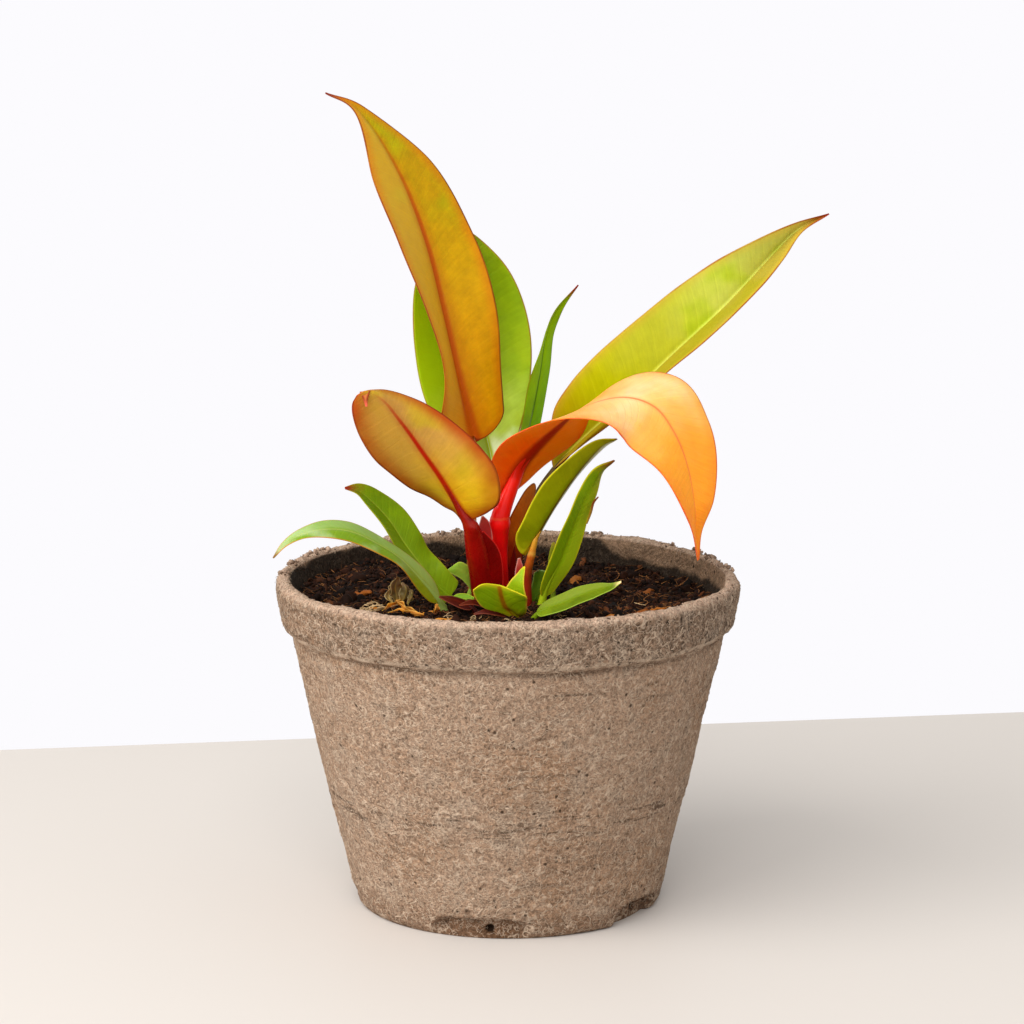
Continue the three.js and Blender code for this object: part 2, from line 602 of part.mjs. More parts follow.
function smallLeafSolid(leaf) {
  const points = [];
  const radii = [];
  const count = 4;
  for (let i = 0; i < count; i += 1) {
    points.push(along(leaf.stem, i / (count - 1)));
    radii.push(leaf.thick[0] + (leaf.thick[1] - leaf.thick[0]) * (i / (count - 1)));
  }
  for (let i = 0; i <= count; i += 1) {
    const u = 0.02 + (leaf.reach - 0.02) * (i / count);
    points.push(along(leaf.spine, u));
    radii.push(leaf.thick[2] + (leaf.thick[3] - leaf.thick[2]) * (i / count));
  }
  const blade = toSolid(bladeGeometry(leaf, SMALL_ROWS, SMALL_COLUMNS));
  let solid = toSolid(tubeGeometry(points, radii, SMALL_STEM_SIDES)).add(blade);
  if (leaf.hook) {
    const turns = leaf.hook.map(() => 20);
    const hook = { spine: leaf.hook, wide: leaf.hook_wide, left: turns, right: turns.map((a) => -a - 20) };
    solid = solid.add(toSolid(bladeGeometry(hook, 6, 1)));
  }
  return { solid, hole: holeSolid(points.slice(0, count), radii.slice(0, count), SMALL_STEM_SIDES) };
}

function stemSolid(stem) {
  const { points, radii } = stemLine(stem);
  let solid = toSolid(tubeGeometry(points, radii, STEM_SIDES));
  if (stem.flap) {
    const flap = {
      spine: stem.flap,
      wide: stem.flap_wide,
      left: stem.flap.map(() => stem.flap_turn[0]),
      right: stem.flap.map(() => stem.flap_turn[1]),
    };
    solid = solid.add(toSolid(bladeGeometry(flap, 6, 2)));
  }
  const buried = points.findIndex((p) => p.z > SOIL_LEVEL + 4);
  return { solid, hole: holeSolid(points.slice(0, buried + 1), radii.slice(0, buried + 1), STEM_SIDES) };
}

const plant = new THREE.Group();
plant.name = 'potted_philodendron';

function addMesh(name, solid, colour, roughness) {
  const material = new THREE.MeshStandardMaterial({ color: colour, roughness, metalness: 0 });
  const mesh = new THREE.Mesh(fromSolid(solid), material);
  mesh.name = name;
  plant.add(mesh);
}

const holes = [];
Object.entries(STEMS).forEach(([name, stem]) => {
  const made = stemSolid(stem);
  addMesh(name, made.solid, stem.colour, 0.35);
  holes.push(made.hole);
});
Object.entries(LEAVES).forEach(([name, leaf]) => {
  addMesh(name, toSolid(bladeGeometry(leaf, BLADE_ROWS, BLADE_COLUMNS)), leaf.colour, 0.4);
});
Object.entries(SMALL_LEAVES).forEach(([name, leaf]) => {
  const made = smallLeafSolid(leaf);
  addMesh(name, made.solid, leaf.colour, 0.4);
  holes.push(made.hole);
});

let soil = soilSolid();
barkChips().forEach((chip) => {
  soil = soil.add(chip);
});
holes.forEach((hole) => {
  soil = soil.subtract(hole);
});
addMesh('soil', soil, 0x2d1c14, 0.95);
addMesh('pot', potSolid(), 0x9a8672, 0.95);

export default plant;
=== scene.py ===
"""Looks of the potted prince of orange philodendron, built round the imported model, in metres."""

from __future__ import annotations

import logging
import math
from dataclasses import dataclass, field
from enum import Enum
from itertools import product
from typing import Callable, Iterable, Sequence, Union

import bmesh
import bpy
import numpy as np
from mathutils import Euler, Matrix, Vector


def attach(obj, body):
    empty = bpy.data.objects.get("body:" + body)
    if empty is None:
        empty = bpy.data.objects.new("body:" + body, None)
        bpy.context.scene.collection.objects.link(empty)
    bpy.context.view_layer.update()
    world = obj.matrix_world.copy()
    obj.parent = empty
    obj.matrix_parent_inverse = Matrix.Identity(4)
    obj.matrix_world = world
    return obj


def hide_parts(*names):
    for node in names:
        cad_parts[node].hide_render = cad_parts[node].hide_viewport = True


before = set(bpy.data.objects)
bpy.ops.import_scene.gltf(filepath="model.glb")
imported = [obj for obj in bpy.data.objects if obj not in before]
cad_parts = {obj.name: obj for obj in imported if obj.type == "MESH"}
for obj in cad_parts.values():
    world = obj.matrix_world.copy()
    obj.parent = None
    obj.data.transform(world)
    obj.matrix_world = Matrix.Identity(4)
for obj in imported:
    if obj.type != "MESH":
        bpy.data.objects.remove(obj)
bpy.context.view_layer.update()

LOG = logging.getLogger("potted_philodendron")
MM = 0.001
FULL_TURN = 2.0 * math.pi
EYE = np.array((1.2, -812.0, 252.0))
POT_BASE = 39.8
POT_SLOPE = 0.2288
POT_WALL = 5.0

Key = Union[int, str]
Colour = tuple[float, float, float]
Point = tuple[float, float, float]
Stops = tuple[tuple[float, Colour], ...]
Scrap = tuple[tuple[Point, ...], tuple[float, ...], float, float]


def rgb(red: int, green: int, blue: int) -> Colour:
    """Turn a screen colour into linear light.

    Args:
        red: red from 0 to 255.
        green: green from 0 to 255.
        blue: blue from 0 to 255.

    Returns:
        The colour in linear light, each part from 0 to 1.
    """
    parts = []
    for value in (red, green, blue):
        share = value / 255.0
        parts.append(share / 12.92 if share <= 0.04045 else ((share + 0.055) / 1.055) ** 2.4)
    return parts[0], parts[1], parts[2]


def shades(*stops: tuple[float, int, int, int]) -> Stops:
    """Turn places with their screen colours into the stops of a ramp."""
    return tuple((place, rgb(*colour)) for place, *colour in stops)


# Node trees


def operator(operation: str, first: bool = True) -> Callable[[Signal, Value], Signal]:
    """Return a method that adds a Math node, with its signal as the first operand or the last."""
    return lambda signal, other: signal.maths(operation, other, first=first)


class Signal:
    """One output socket of a node, with arithmetic that adds Math nodes."""

    def __init__(self, tree: Tree, socket: bpy.types.NodeSocket) -> None:
        """Keep the tree and the socket."""
        self.tree = tree
        self.socket = socket

    def maths(self, operation: str, *others: Value, first: bool = True) -> Signal:
        """Add a Math node on this signal.

        Args:
            operation: the Math node's operation.
            others: the other operands.
            first: whether this signal is the first operand.

        Returns:
            The node's result.
        """
        operands = [self, *others] if first else [*others, self]
        return self.tree.make("ShaderNodeMath", {"operation": operation}, dict(enumerate(operands)))

    __add__ = __radd__ = operator("ADD")
    __sub__ = operator("SUBTRACT")
    __rsub__ = operator("SUBTRACT", first=False)
    __mul__ = __rmul__ = operator("MULTIPLY")
    __truediv__ = operator("DIVIDE")
    __pow__ = operator("POWER")

    def size(self) -> Signal:
        """Return the value without its sign."""
        return self.maths("ABSOLUTE")

    def other(self, name: Key) -> Signal:
        """Return another output of the same node."""
        return Signal(self.tree, self.socket.node.outputs[name])

    def rise(self, low: Value, high: Value) -> Signal:
        """Rise smoothly from 0 to 1.

        Args:
            low: the value where the rise starts.
            high: the value where it ends.

        Returns:
            0 below low, 1 above high.
        """
        return self.tree.make(
            "ShaderNodeMapRange",
            {"interpolation_type": "SMOOTHSTEP"},
            {"Value": self, "From Min": low, "From Max": high},
        )


Value = Union[Signal, float, int, Sequence[float]]


class Tree:
    """A node tree that is being built, for a material or for geometry."""

    def __init__(self, node_tree: bpy.types.NodeTree) -> None:
        """Keep the tree."""
        self.node_tree = node_tree

    def make(
        self,
        kind: str,
        settings: dict[str, object] | None = None,
        sockets: dict[Key, object] | None = None,
        out: Key = 0,
    ) -> Signal:
        """Add one node.

        Args:
            kind: the node's type name.
            settings: its own settings, or stops for a colour ramp. They are set first.
            sockets: values or signals by input name or number.
            out: the output to return, by name or number.

        Returns:
            The chosen output.
        """
        node = self.node_tree.nodes.new(kind)
        for name, value in (settings or {}).items():
            if name == "stops":
                self._fill_ramp(node.color_ramp, value)
            else:
                setattr(node, name, value)
        for key, value in (sockets or {}).items():
            target = node.inputs[key]
            if isinstance(value, Signal):
                self.node_tree.links.new(value.socket, target)
            else:
                target.default_value = value
        return Signal(self, node.outputs[out])

    def close(self, kind: str, last: Signal) -> None:
        """Link the last signal to a new output node of that kind."""
        output = self.node_tree.nodes.new(kind)
        self.node_tree.links.new(last.socket, output.inputs[0])

    @staticmethod
    def _fill_ramp(ramp: bpy.types.ColorRamp, stops: Stops) -> None:
        """Set the stops of a colour ramp.

        Args:
            ramp: the ramp.
            stops: places from 0 to 1 with their colours.
        """
        ramp.interpolation = "EASE"
        while len(ramp.elements) < len(stops):
            ramp.elements.new(0.5)
        for element, (place, colour) in zip(ramp.elements, stops):
            element.position = place
            element.color = (*colour, 1.0)


class PaintTree(Tree):
    """The tree of one material."""

    def __init__(self, name: str) -> None:
        """Start an empty material of that name."""
        self.material = bpy.data.materials.new(name)
        self.material.use_nodes = True
        self.material.node_tree.nodes.clear()
        super().__init__(self.material.node_tree)

    def place(self) -> Signal:
        """Return the place on the object, in metres."""
        return self.make("ShaderNodeTexCoord", out="Object")

    def parts(self, vector: Signal) -> tuple[Signal, Signal, Signal]:
        """Split a vector.

        Args:
            vector: the vector.

        Returns:
            Its three parts.
        """
        split = self.make("ShaderNodeSeparateXYZ", None, {0: vector})
        return tuple(Signal(self, split.socket.node.outputs[i]) for i in range(3))

    def join(self, x: Value, y: Value, z: Value) -> Signal:
        """Return a vector of three parts."""
        return self.make("ShaderNodeCombineXYZ", None, {0: x, 1: y, 2: z})

    def stretch(self, vector: Signal, by: Point, shift: Point = (0.0, 0.0, 0.0)) -> Signal:
        """Stretch and move a vector.

        Args:
            vector: the vector.
            by: the factor for each part.
            shift: what is added after that.

        Returns:
            The new vector.
        """
        return self.make("ShaderNodeVectorMath", {"operation": "MULTIPLY_ADD"}, {0: vector, 1: by, 2: shift})

    def moved(self, vector: Signal, *shift: float) -> Signal:
        """Return the vector moved by three numbers."""
        return self.stretch(vector, (1.0, 1.0, 1.0), shift)

    def stored(self, name: str, out: str = "Fac") -> Signal:
        """Return a stored attribute of the mesh."""
        return self.make("ShaderNodeAttribute", {"attribute_name": name}, None, out)

    def cloud(
        self, place: Signal, scale: float, detail: float = 2.0, rough: float = 0.5, warp: float = 0.0
    ) -> Signal:
        """Add a noise.

        Args:
            place: where it is read.
            scale: its scale.
            detail: its detail.
            rough: its roughness.
            warp: its distortion.

        Returns:
            The noise, about 0.5 on average.
        """
        return self.make(
            "ShaderNodeTexNoise",
            None,
            {"Vector": place, "Scale": scale, "Detail": detail, "Roughness": rough, "Distortion": warp},
        )

    def ramp(self, signal: Signal, stops: Stops) -> Signal:
        """Return the colour of a ramp at the signal."""
        return self.make("ShaderNodeValToRGB", {"stops": stops}, {0: signal})

    def tint(self, first: Value, second: Value, share: Value) -> Signal:
        """Mix two colours.

        Args:
            first: the colour at share 0.
            second: the colour at share 1.
            share: how far to go to the second.

        Returns:
            The mixed colour.
        """
        ready = [c if isinstance(c, Signal) else (*c[:3], 1.0) for c in (first, second)]
        settings = {"data_type": "RGBA", "clamp_factor": True}
        return self.make("ShaderNodeMix", settings, {0: share, 6: ready[0], 7: ready[1]}, 2)

    def shade(self, colour: Signal, factor: Value) -> Signal:
        """Multiply a colour by a number that changes over the surface.

        Args:
            colour: the colour.
            factor: the number.

        Returns:
            The darker or lighter colour.
        """
        return self.make("ShaderNodeVectorMath", {"operation": "SCALE"}, {0: colour, "Scale": factor})

    def worms(self, place: Signal, scale: float, width: float, shift: float, cover: float) -> Signal:
        """Draw short curly threads where two noises cross.

        Args:
            place: where they are read.
            scale: how many per metre.
            width: their width as a share of the noise's range.
            shift: moves the pattern, so that sets differ.
            cover: threshold below which a thread breaks off.

        Returns:
            1 on a thread, 0 beside it.
        """
        first = self.moved(place, shift, -shift, 0.7 * shift)
        line = self.cloud(first, scale, 1.0, 0.4, 0.5)
        near = 1.0 - (line - 0.5).size().rise(0.0, width)
        broken = self.cloud(self.moved(first, 3.1, 1.7, -2.3), scale * 0.9, 0.0)
        return near * broken.rise(cover, cover + 0.06)

    def finish(
        self,
        base: Value,
        roughness: Value,
        height: Signal | None = None,
        depth: float = 0.0001,
        gloss: float = 0.1,
        glow: tuple[float, Point, float] | None = None,
    ) -> bpy.types.Material:
        """Close the material with its shader.

        Args:
            base: the base colour.
            roughness: the roughness.
            height: the relief from 0 to 1, if any.
            depth: what the relief's full height is, in metres.
            gloss: how much the surface mirrors.
            glow: weight, radius and scale of the light that passes into the surface, if any.

        Returns:
            The material.
        """
        sockets = {"Base Color": base, "Roughness": roughness, "Specular IOR Level": gloss}
        if glow is not None:
            sockets.update(zip(("Subsurface Weight", "Subsurface Radius", "Subsurface Scale"), glow))
        if height is not None:
            bump = {"Height": height, "Distance": depth, "Strength": 1.0}
            sockets["Normal"] = self.make("ShaderNodeBump", None, bump)
        shader = self.make("ShaderNodeBsdfPrincipled", None, sockets)
        self.close("ShaderNodeOutputMaterial", shader)
        return self.material


# Finishes


@dataclass(frozen=True)
class BladeFinish:
    """Finish of a leaf blade. The near face is the one that looks at the viewer where the leaf starts. Its
    half colour is painted light and shade, laid over one half of the near face for how light falls on it.
    """

    name: str
    near: Stops
    far: Stops
    patch: Colour
    patch_share: float = 0.5
    patch_size: float = 11.0
    patch_from: float = -1.0
    rib: Colour = rgb(190, 80, 30)
    rib_far: Colour | None = None
    rib_width: tuple[float, float] = (1.0, 0.3)
    rib_share: float = 1.0
    rib_end: float = 1.0
    halo: float = 0.2
    # The half colour, its share and its side paint light and shade over one half of the near face.
    half: Colour | None = None
    half_share: float = 0.6
    half_side: float = 1.0
    edge: Colour = rgb(140, 60, 30)
    edge_width: float = 0.45
    edge_share: float = 0.9
    blush: Colour | None = None
    blush_width: float = 5.0
    blush_share: float = 0.4
    tip: Colour = rgb(130, 45, 25)
    tip_from: float = 0.93
    veins: float = 0.06
    vein_gap: float = 3.4
    mottle: float = 0.3
    roughness: float = 0.42
    glow: float = 0.15
    gloss: float = 0.1

    def paint(self) -> bpy.types.Material:
        """Build the material.

        Returns:
            The material, which reads the blade's own attributes.
        """
        tree = PaintTree(self.name)
        place = tree.place()
        u, across, side = tree.parts(tree.stored("blade", "Vector"))
        rim = tree.stored("rim")
        run = tree.stored("run")
        off = across.size()
        cloud = tree.cloud(place, 1000.0 / self.patch_size, 3.0, 0.55)
        drift = u + (cloud - 0.5) * 0.22
        body = tree.tint(tree.ramp(drift, self.near), tree.ramp(drift, self.far), side)
        second = tree.cloud(tree.moved(place, 0.37, 0.11, 0.23), 820.0 / self.patch_size)
        patchy = second.rise(0.5, 0.66) * drift.rise(self.patch_from, self.patch_from + 0.2)
        body = tree.tint(body, self.patch, patchy * self.patch_share)
        slant = run - off * 0.75 + off * off * 0.018
        streak = tree.cloud(tree.join(slant * 1.15, off * 0.09, side * 7.0), 1.0, 3.0, 0.6)
        fine = tree.cloud(tree.join(slant * 2.6, off * 0.3, side * 3.0), 1.0, 2.0, 0.6)
        blotch = tree.cloud(place, 330.0, 3.0, 0.6)
        uneven = (streak - 0.5) * 0.26 + (fine - 0.5) * 0.14 + (blotch - 0.5) * self.mottle
        body = tree.shade(body, uneven + 1.0)
        wave = (slant * (FULL_TURN / self.vein_gap) + streak * 2.6).maths("COSINE")
        vein = (wave * 0.5 + 0.5) ** 12.0 * rim.rise(0.0, 2.0)
        body = tree.tint(body, self._vein_colour(), vein * self.veins)
        # Painted light and shade: the half colour lightens or darkens one half of the near face, for how
        # light falls on it.
        if self.half is not None:
            chosen = (across * self.half_side).rise(0.0, 1.2) * (1.0 - side)
            body = tree.tint(body, self.half, chosen * self.half_share)
        if self.blush is not None:
            blush = (1.0 - rim.rise(0.0, self.blush_width)) * self.blush_share
            body = tree.tint(body, self.blush, blush * (0.3 + cloud * 1.4))
        taper = (1.0 - u) ** 1.5
        wide = taper * (self.rib_width[0] - self.rib_width[1]) + self.rib_width[1]
        if self.rib_far is not None:
            wide = wide * (1.0 - side * 0.7)
        fade = (1.0 - u.rise(self.rib_end - 0.45, self.rib_end)) * self.rib_share
        rib = (1.0 - (off / wide).rise(0.3, 1.1)) * fade
        around = (1.0 - (off / wide).rise(0.6, 3.2)) * fade * (0.4 + streak * 1.2)
        rib_colour: Value = self.rib
        if self.rib_far is not None:
            rib_colour = tree.tint(self.rib, self.rib_far, side)
        body = tree.tint(body, rib_colour, around * self.halo)
        body = tree.tint(body, rib_colour, rib)
        line = (1.0 - rim.rise(self.edge_width * 0.35, self.edge_width * 1.25)) * self.edge_share
        body = tree.tint(body, self.edge, line * (0.5 + second.rise(0.35, 0.6) * 0.5))
        body = tree.tint(body, self.tip, (u + (cloud - 0.5) * 0.06).rise(self.tip_from, 1.0))
        speck = tree.cloud(place, 2600.0, 1.0)
        relief = speck * 0.03 + streak * 0.16 - vein * 0.12 + blotch * 0.5
        shine = self.roughness + (streak - 0.5) * 0.14 + (speck - 0.5) * 0.04
        glow = (self.glow, (1.0, 0.5, 0.1), 0.0012)
        return tree.finish(body, shine, relief, 0.00022, self.gloss, glow)

    def _vein_colour(self) -> Colour:
        """Return the colour of the side veins: the middle near colour, lighter."""
        red, green, blue = self.near[len(self.near) // 2][1]
        return min(1.0, red * 1.5 + 0.05), min(1.0, green * 1.45 + 0.05), blue * 1.2


@dataclass(frozen=True)
class StalkFinish:
    """Finish of a petiole or sheath: colours along it, with pale rings at its joints."""

    name: str
    along: Stops
    ring: Colour = rgb(245, 150, 110)
    rings: tuple[float, ...] = ()
    ring_width: float = 1.0
    ring_share: float = 0.35
    flush: Colour = rgb(110, 8, 6)
    flush_share: float = 0.35
    roughness: float = 0.3

    def paint(self) -> bpy.types.Material:
        """Build the material.

        Returns:
            The material, which reads the stalk's own attributes.
        """
        tree = PaintTree(self.name)
        place = tree.place()
        share = tree.parts(tree.stored("stalk", "Vector"))[0]
        cloud = tree.cloud(place, 260.0, 3.0, 0.6)
        lines = tree.cloud(tree.stretch(place, (1500.0, 1500.0, 90.0)), 1.0, 2.0, 0.6)
        body = tree.ramp(share + (cloud - 0.5) * 0.16, self.along)
        body = tree.tint(body, self.flush, cloud.rise(0.5, 0.72) * self.flush_share)
        body = tree.shade(body, 0.86 + lines * 0.28)
        height = tree.parts(place)[2] * 1000.0
        for level in self.rings:
            band = 1.0 - ((height + (cloud - 0.5) * 1.6) - level).size().rise(0.0, self.ring_width)
            body = tree.tint(body, self.ring, band * self.ring_share)
        shine = self.roughness + (cloud - 0.5) * 0.15
        relief = lines * 0.4 + cloud * 0.6
        return tree.finish(body, shine, relief, 0.0002, 0.3, (0.1, (1.0, 0.2, 0.1), 0.0015))


@dataclass(frozen=True)
class FibreFinish:
    """Finish of the moulded fibre pot: threads, pits and damp stains, with painted light on the lip and
    along the ledge, and painted shade under the collar, in its creases, in the drain holes and inside.

    Heights and places are in millimetres; blot_place is how far right of the middle the dark stain is.
    """

    name: str = "pressed_fibre"
    body: Colour = rgb(158, 131, 109)
    warm: Colour = rgb(151, 117, 89)
    grey: Colour = rgb(162, 144, 126)
    thread: Colour = rgb(212, 188, 164)
    # The pit colour also paints shade in the creases and the drain holes.
    pit_and_shade: Colour = rgb(46, 32, 22)
    damp: Colour = rgb(96, 66, 44)
    # The pale lip colour is painted light on the top of the rim.
    lip: Colour = rgb(190, 160, 138)
    # Inside the pot: a near-black colour of painted shade with damp stains, and a paler one where the wall
    # is lit and dry.
    inner_shade_and_stain: Colour = rgb(20, 13, 7)
    inner_lit_and_dry: Colour = rgb(136, 109, 86)
    soil_line: float = 83.5
    # Heights of the painted highlight along the ledge and of the painted shade in the two creases.
    ledge_highlight_height: float = 74.0
    crease_shade_height: float = 72.1
    second_crease_shade: float = 66.4
    belt_height: float = 31.0
    blot_place: float = 23.5

    def paint(self) -> bpy.types.Material:
        """Build the material.

        Returns:
            The material. It reads the pot's zone attribute: 0 outside, 1 on the lip, 2 inside.
        """
        tree = PaintTree(self.name)
        place = tree.place()
        height = tree.parts(place)[2] * 1000.0
        zone = tree.stored("zone")
        broad = tree.cloud(place, 34.0, 3.0, 0.6)
        patch = tree.cloud(tree.moved(place, 0.5, 0.2, 0.9), 120.0, 3.0, 0.6)
        grain = tree.cloud(place, 1250.0, 3.0, 0.7)
        coarse = tree.worms(place, 300.0, 0.03, 0.0, 0.46)
        middle = tree.worms(place, 470.0, 0.04, 0.31, 0.44)
        small = tree.worms(place, 720.0, 0.06, 0.77, 0.42)
        threads = coarse.maths("MAXIMUM", middle).maths("MAXIMUM", small * 0.7)
        body = tree.tint(self.body, self.warm, broad.rise(0.42, 0.68) * 0.55)
        body = tree.tint(body, self.grey, patch.rise(0.5, 0.7) * 0.5)
        inside = zone.rise(1.15, 1.75)
        lip = 1.0 - (zone - 1.0).size().rise(0.15, 0.85)
        left = tree.parts(place)[0] * -1000.0
        aside = left * -1.0
        # Painted shade inside, with damp: darker low down and on the left, where the wall faces away from
        # the light, lighter on the right; the blot is a dark stain.
        sides = left.rise(0.0, 40.0) * 2.8 - aside.rise(14.0, 44.0)
        blot = 1.0 - (left + self.blot_place + (broad - 0.5) * 9.0).size().rise(2.0, 9.5)
        damp = (self.soil_line - height) * 0.8 + (patch - 0.5) * 4.0 + (grain - 0.5) * 1.5
        damp = damp + sides + blot * 3.0
        shaded_and_stained = tree.tint(self.inner_lit_and_dry, self.inner_shade_and_stain, damp.rise(0.2, 1.5))
        body = tree.tint(body, shaded_and_stained, inside * 0.94)
        # Painted light: the lip is paler on top, where it faces the light.
        body = tree.tint(body, self.lip, lip * 0.75)
        low = 1.0 - (height + (patch - 0.5) * 14.0).rise(3.0, 9.0)
        body = tree.tint(body, self.damp, low * 0.42)
        wet = tree.stored("wet")
        body = tree.tint(body, self.damp, (wet * (0.45 + patch * 0.9)).rise(0.2, 0.8) * 0.85)
        # Painted shade: the drain holes are darkened with the pit colour.
        body = tree.tint(body, self.pit_and_shade, wet.rise(1.15, 1.5) * 0.95)
        tuft = tree.cloud(tree.moved(place, 0.21, 0.13, 0.4), 430.0, 2.0, 0.6)
        outside = 1.0 - zone.rise(0.0, 0.7)
        # Painted shade: the collar is darkened, more towards the right, away from the light.
        collar = height.rise(72.8, 74.0) * outside * (aside.rise(-10.0, 56.0) * 0.16 + 0.27)
        # Painted shade in the crease under the collar and in a second crease lower down on the right.
        wander = height + (patch - 0.5) * 1.6
        crease = 1.0 - (wander - self.crease_shade_height).size().rise(0.3, 1.1)
        crease = crease * outside * broad.rise(0.36, 0.56) * (1.0 - left.rise(24.0, 40.0) * 0.85)
        second = (1.0 - (wander - self.second_crease_shade).size().rise(0.1, 0.6)) * aside.rise(7.0, 11.0)
        second = second * (1.0 - aside.rise(25.0, 31.0)) * tuft.rise(0.4, 0.54)
        crease = crease.maths("MAXIMUM", second * outside)
        # Painted highlight: a pale lit line along the collar's lower ledge.
        ledge_highlight = 1.0 - (height - self.ledge_highlight_height + (broad - 0.5) * 2.0).size().rise(0.3, 0.9)
        ledge_highlight = ledge_highlight * outside * tuft.rise(0.36, 0.56)
        sand = tree.cloud(place, 2300.0, 2.0, 0.7)
        # The grain darkens and lightens at random; the collar term is painted shade.
        body = tree.shade(body, (grain - 0.5) * 2.2 + (sand - 0.5) * 1.4 + (tuft - 0.5) * 0.8 + 1.0 - collar)
        # Painted shade in the creases.
        body = tree.tint(body, self.pit_and_shade, crease * 0.6)
        # Painted highlight on the ledge.
        body = tree.tint(body, self.thread, ledge_highlight * 0.55)
        dash = tree.cloud(tree.stretch(place, (90.0, 90.0, 900.0)), 1.0, 2.0, 0.6)
        belt = 1.0 - (wander - self.belt_height).size().rise(1.0, 6.0)
        rows = dash.rise(0.53, 0.63) * outside * (broad.rise(0.44, 0.6) * 0.5).maths("MAXIMUM", belt)
        body = tree.tint(body, self.pit_and_shade, rows * 0.6)
        body = tree.tint(body, self.thread, threads * (1.0 - inside * 0.93) * 0.68)
        spread = {"Vector": place, "Scale": 330.0, "Randomness": 1.0}
        cell = tree.make("ShaderNodeTexVoronoi", {"feature": "F1"}, spread, "Distance")
        chance = tree.cloud(tree.moved(place, 0.9, 0.4, 0.1), 330.0, 0.0)
        pits = (1.0 - cell.rise(0.07, 0.2)) * chance.rise(0.5, 0.62)
        body = tree.tint(body, self.pit_and_shade, pits * 0.85)
        relief = 0.45 + coarse * 0.34 + middle * 0.3 + small * 0.18 - pits * 0.8 - rows * 0.3
        relief = relief + (grain - 0.5) * 2.2 + (patch - 0.5) * 0.5 + (tuft - 0.5) * 0.7
        return tree.finish(body, 0.93 - threads * 0.12, relief, 0.00055)


@dataclass(frozen=True)
class ThreadFinish:
    """Finish of loose threads and crumbs: two colours, chosen by each piece's own tone."""

    name: str
    dark: Colour
    light: Colour
    roughness: float = 0.9
    grain: float = 1500.0
    depth: float = 0.0001

    def paint(self) -> bpy.types.Material:
        """Build the material.

        Returns:
            The material, which reads the tone attribute.
        """
        tree = PaintTree(self.name)
        place = tree.place()
        speck = tree.cloud(place, self.grain, 2.0, 0.6)
        body = tree.tint(self.dark, self.light, tree.stored("tone"))
        body = tree.shade(body, 0.7 + speck * 0.6)
        return tree.finish(body, self.roughness, speck, self.depth)


@dataclass(frozen=True)
class SoilFinish:
    """Finish of the soil: near black, with reddish brown fibre and grey-brown crumbs."""

    name: str = "potting_soil"
    dark: Colour = rgb(10, 4, 2)
    brown: Colour = rgb(46, 22, 10)
    red: Colour = rgb(92, 44, 22)
    grey: Colour = rgb(122, 92, 62)

    def paint(self) -> bpy.types.Material:
        """Build the material."""
        tree = PaintTree(self.name)
        place = tree.place()
        lumps = tree.cloud(place, 210.0, 4.0, 0.65, 0.4)
        crumbs = tree.cloud(place, 700.0, 3.0, 0.7)
        body = tree.tint(self.dark, self.brown, lumps.rise(0.42, 0.66))
        body = tree.tint(body, self.red, crumbs.rise(0.54, 0.7) * lumps.rise(0.4, 0.6) * 0.8)
        hair = tree.worms(place, 330.0, 0.035, 0.2, 0.5)
        body = tree.tint(body, self.grey, hair * 0.5)
        relief = lumps * 0.6 + crumbs * 0.5 + hair * 0.2
        return tree.finish(body, 0.8 + (crumbs - 0.5) * 0.3, relief, 0.0012, 0.12)


@dataclass(frozen=True)
class PlainFinish:
    """Finish of the floor: one pale matt colour with a faint cloud."""

    name: str
    colour: Colour
    roughness: float = 0.55

    def paint(self) -> bpy.types.Material:
        """Build the material."""
        tree = PaintTree(self.name)
        cloud = tree.cloud(tree.place(), 3.0, 3.0)
        body = tree.tint(self.colour, tuple(c * 0.97 for c in self.colour), cloud)
        return tree.finish(body, self.roughness, gloss=0.3)


# Shapes


def unit(vectors: np.ndarray) -> np.ndarray:
    """Return the vectors at length 1."""
    return vectors / np.maximum(np.linalg.norm(vectors, axis=-1, keepdims=True), 1e-12)


def along(values: Sequence[float] | Sequence[Point], t: np.ndarray) -> np.ndarray:
    """Read a smooth curve through evenly spaced values.

    Args:
        values: numbers or points.
        t: places from 0 to 1.

    Returns:
        The curve's numbers or points at those places.
    """
    known = np.asarray(values, float)
    last = len(known) - 1
    s = np.clip(np.asarray(t, float) * last, 0.0, last - 1e-9)
    i = np.floor(s).astype(int)
    f = s - i
    if known.ndim > 1:
        f = f[..., None]
    padded = np.concatenate([[2 * known[0] - known[1]], known, [2 * known[-1] - known[-2]]])
    p0, p1, p2, p3 = (padded[i + k] for k in range(4))
    return 0.5 * (
        2 * p1 + (p2 - p0) * f + (2 * p0 - 5 * p1 + 4 * p2 - p3) * f**2 + (3 * p1 - p0 - 3 * p2 + p3) * f**3
    )


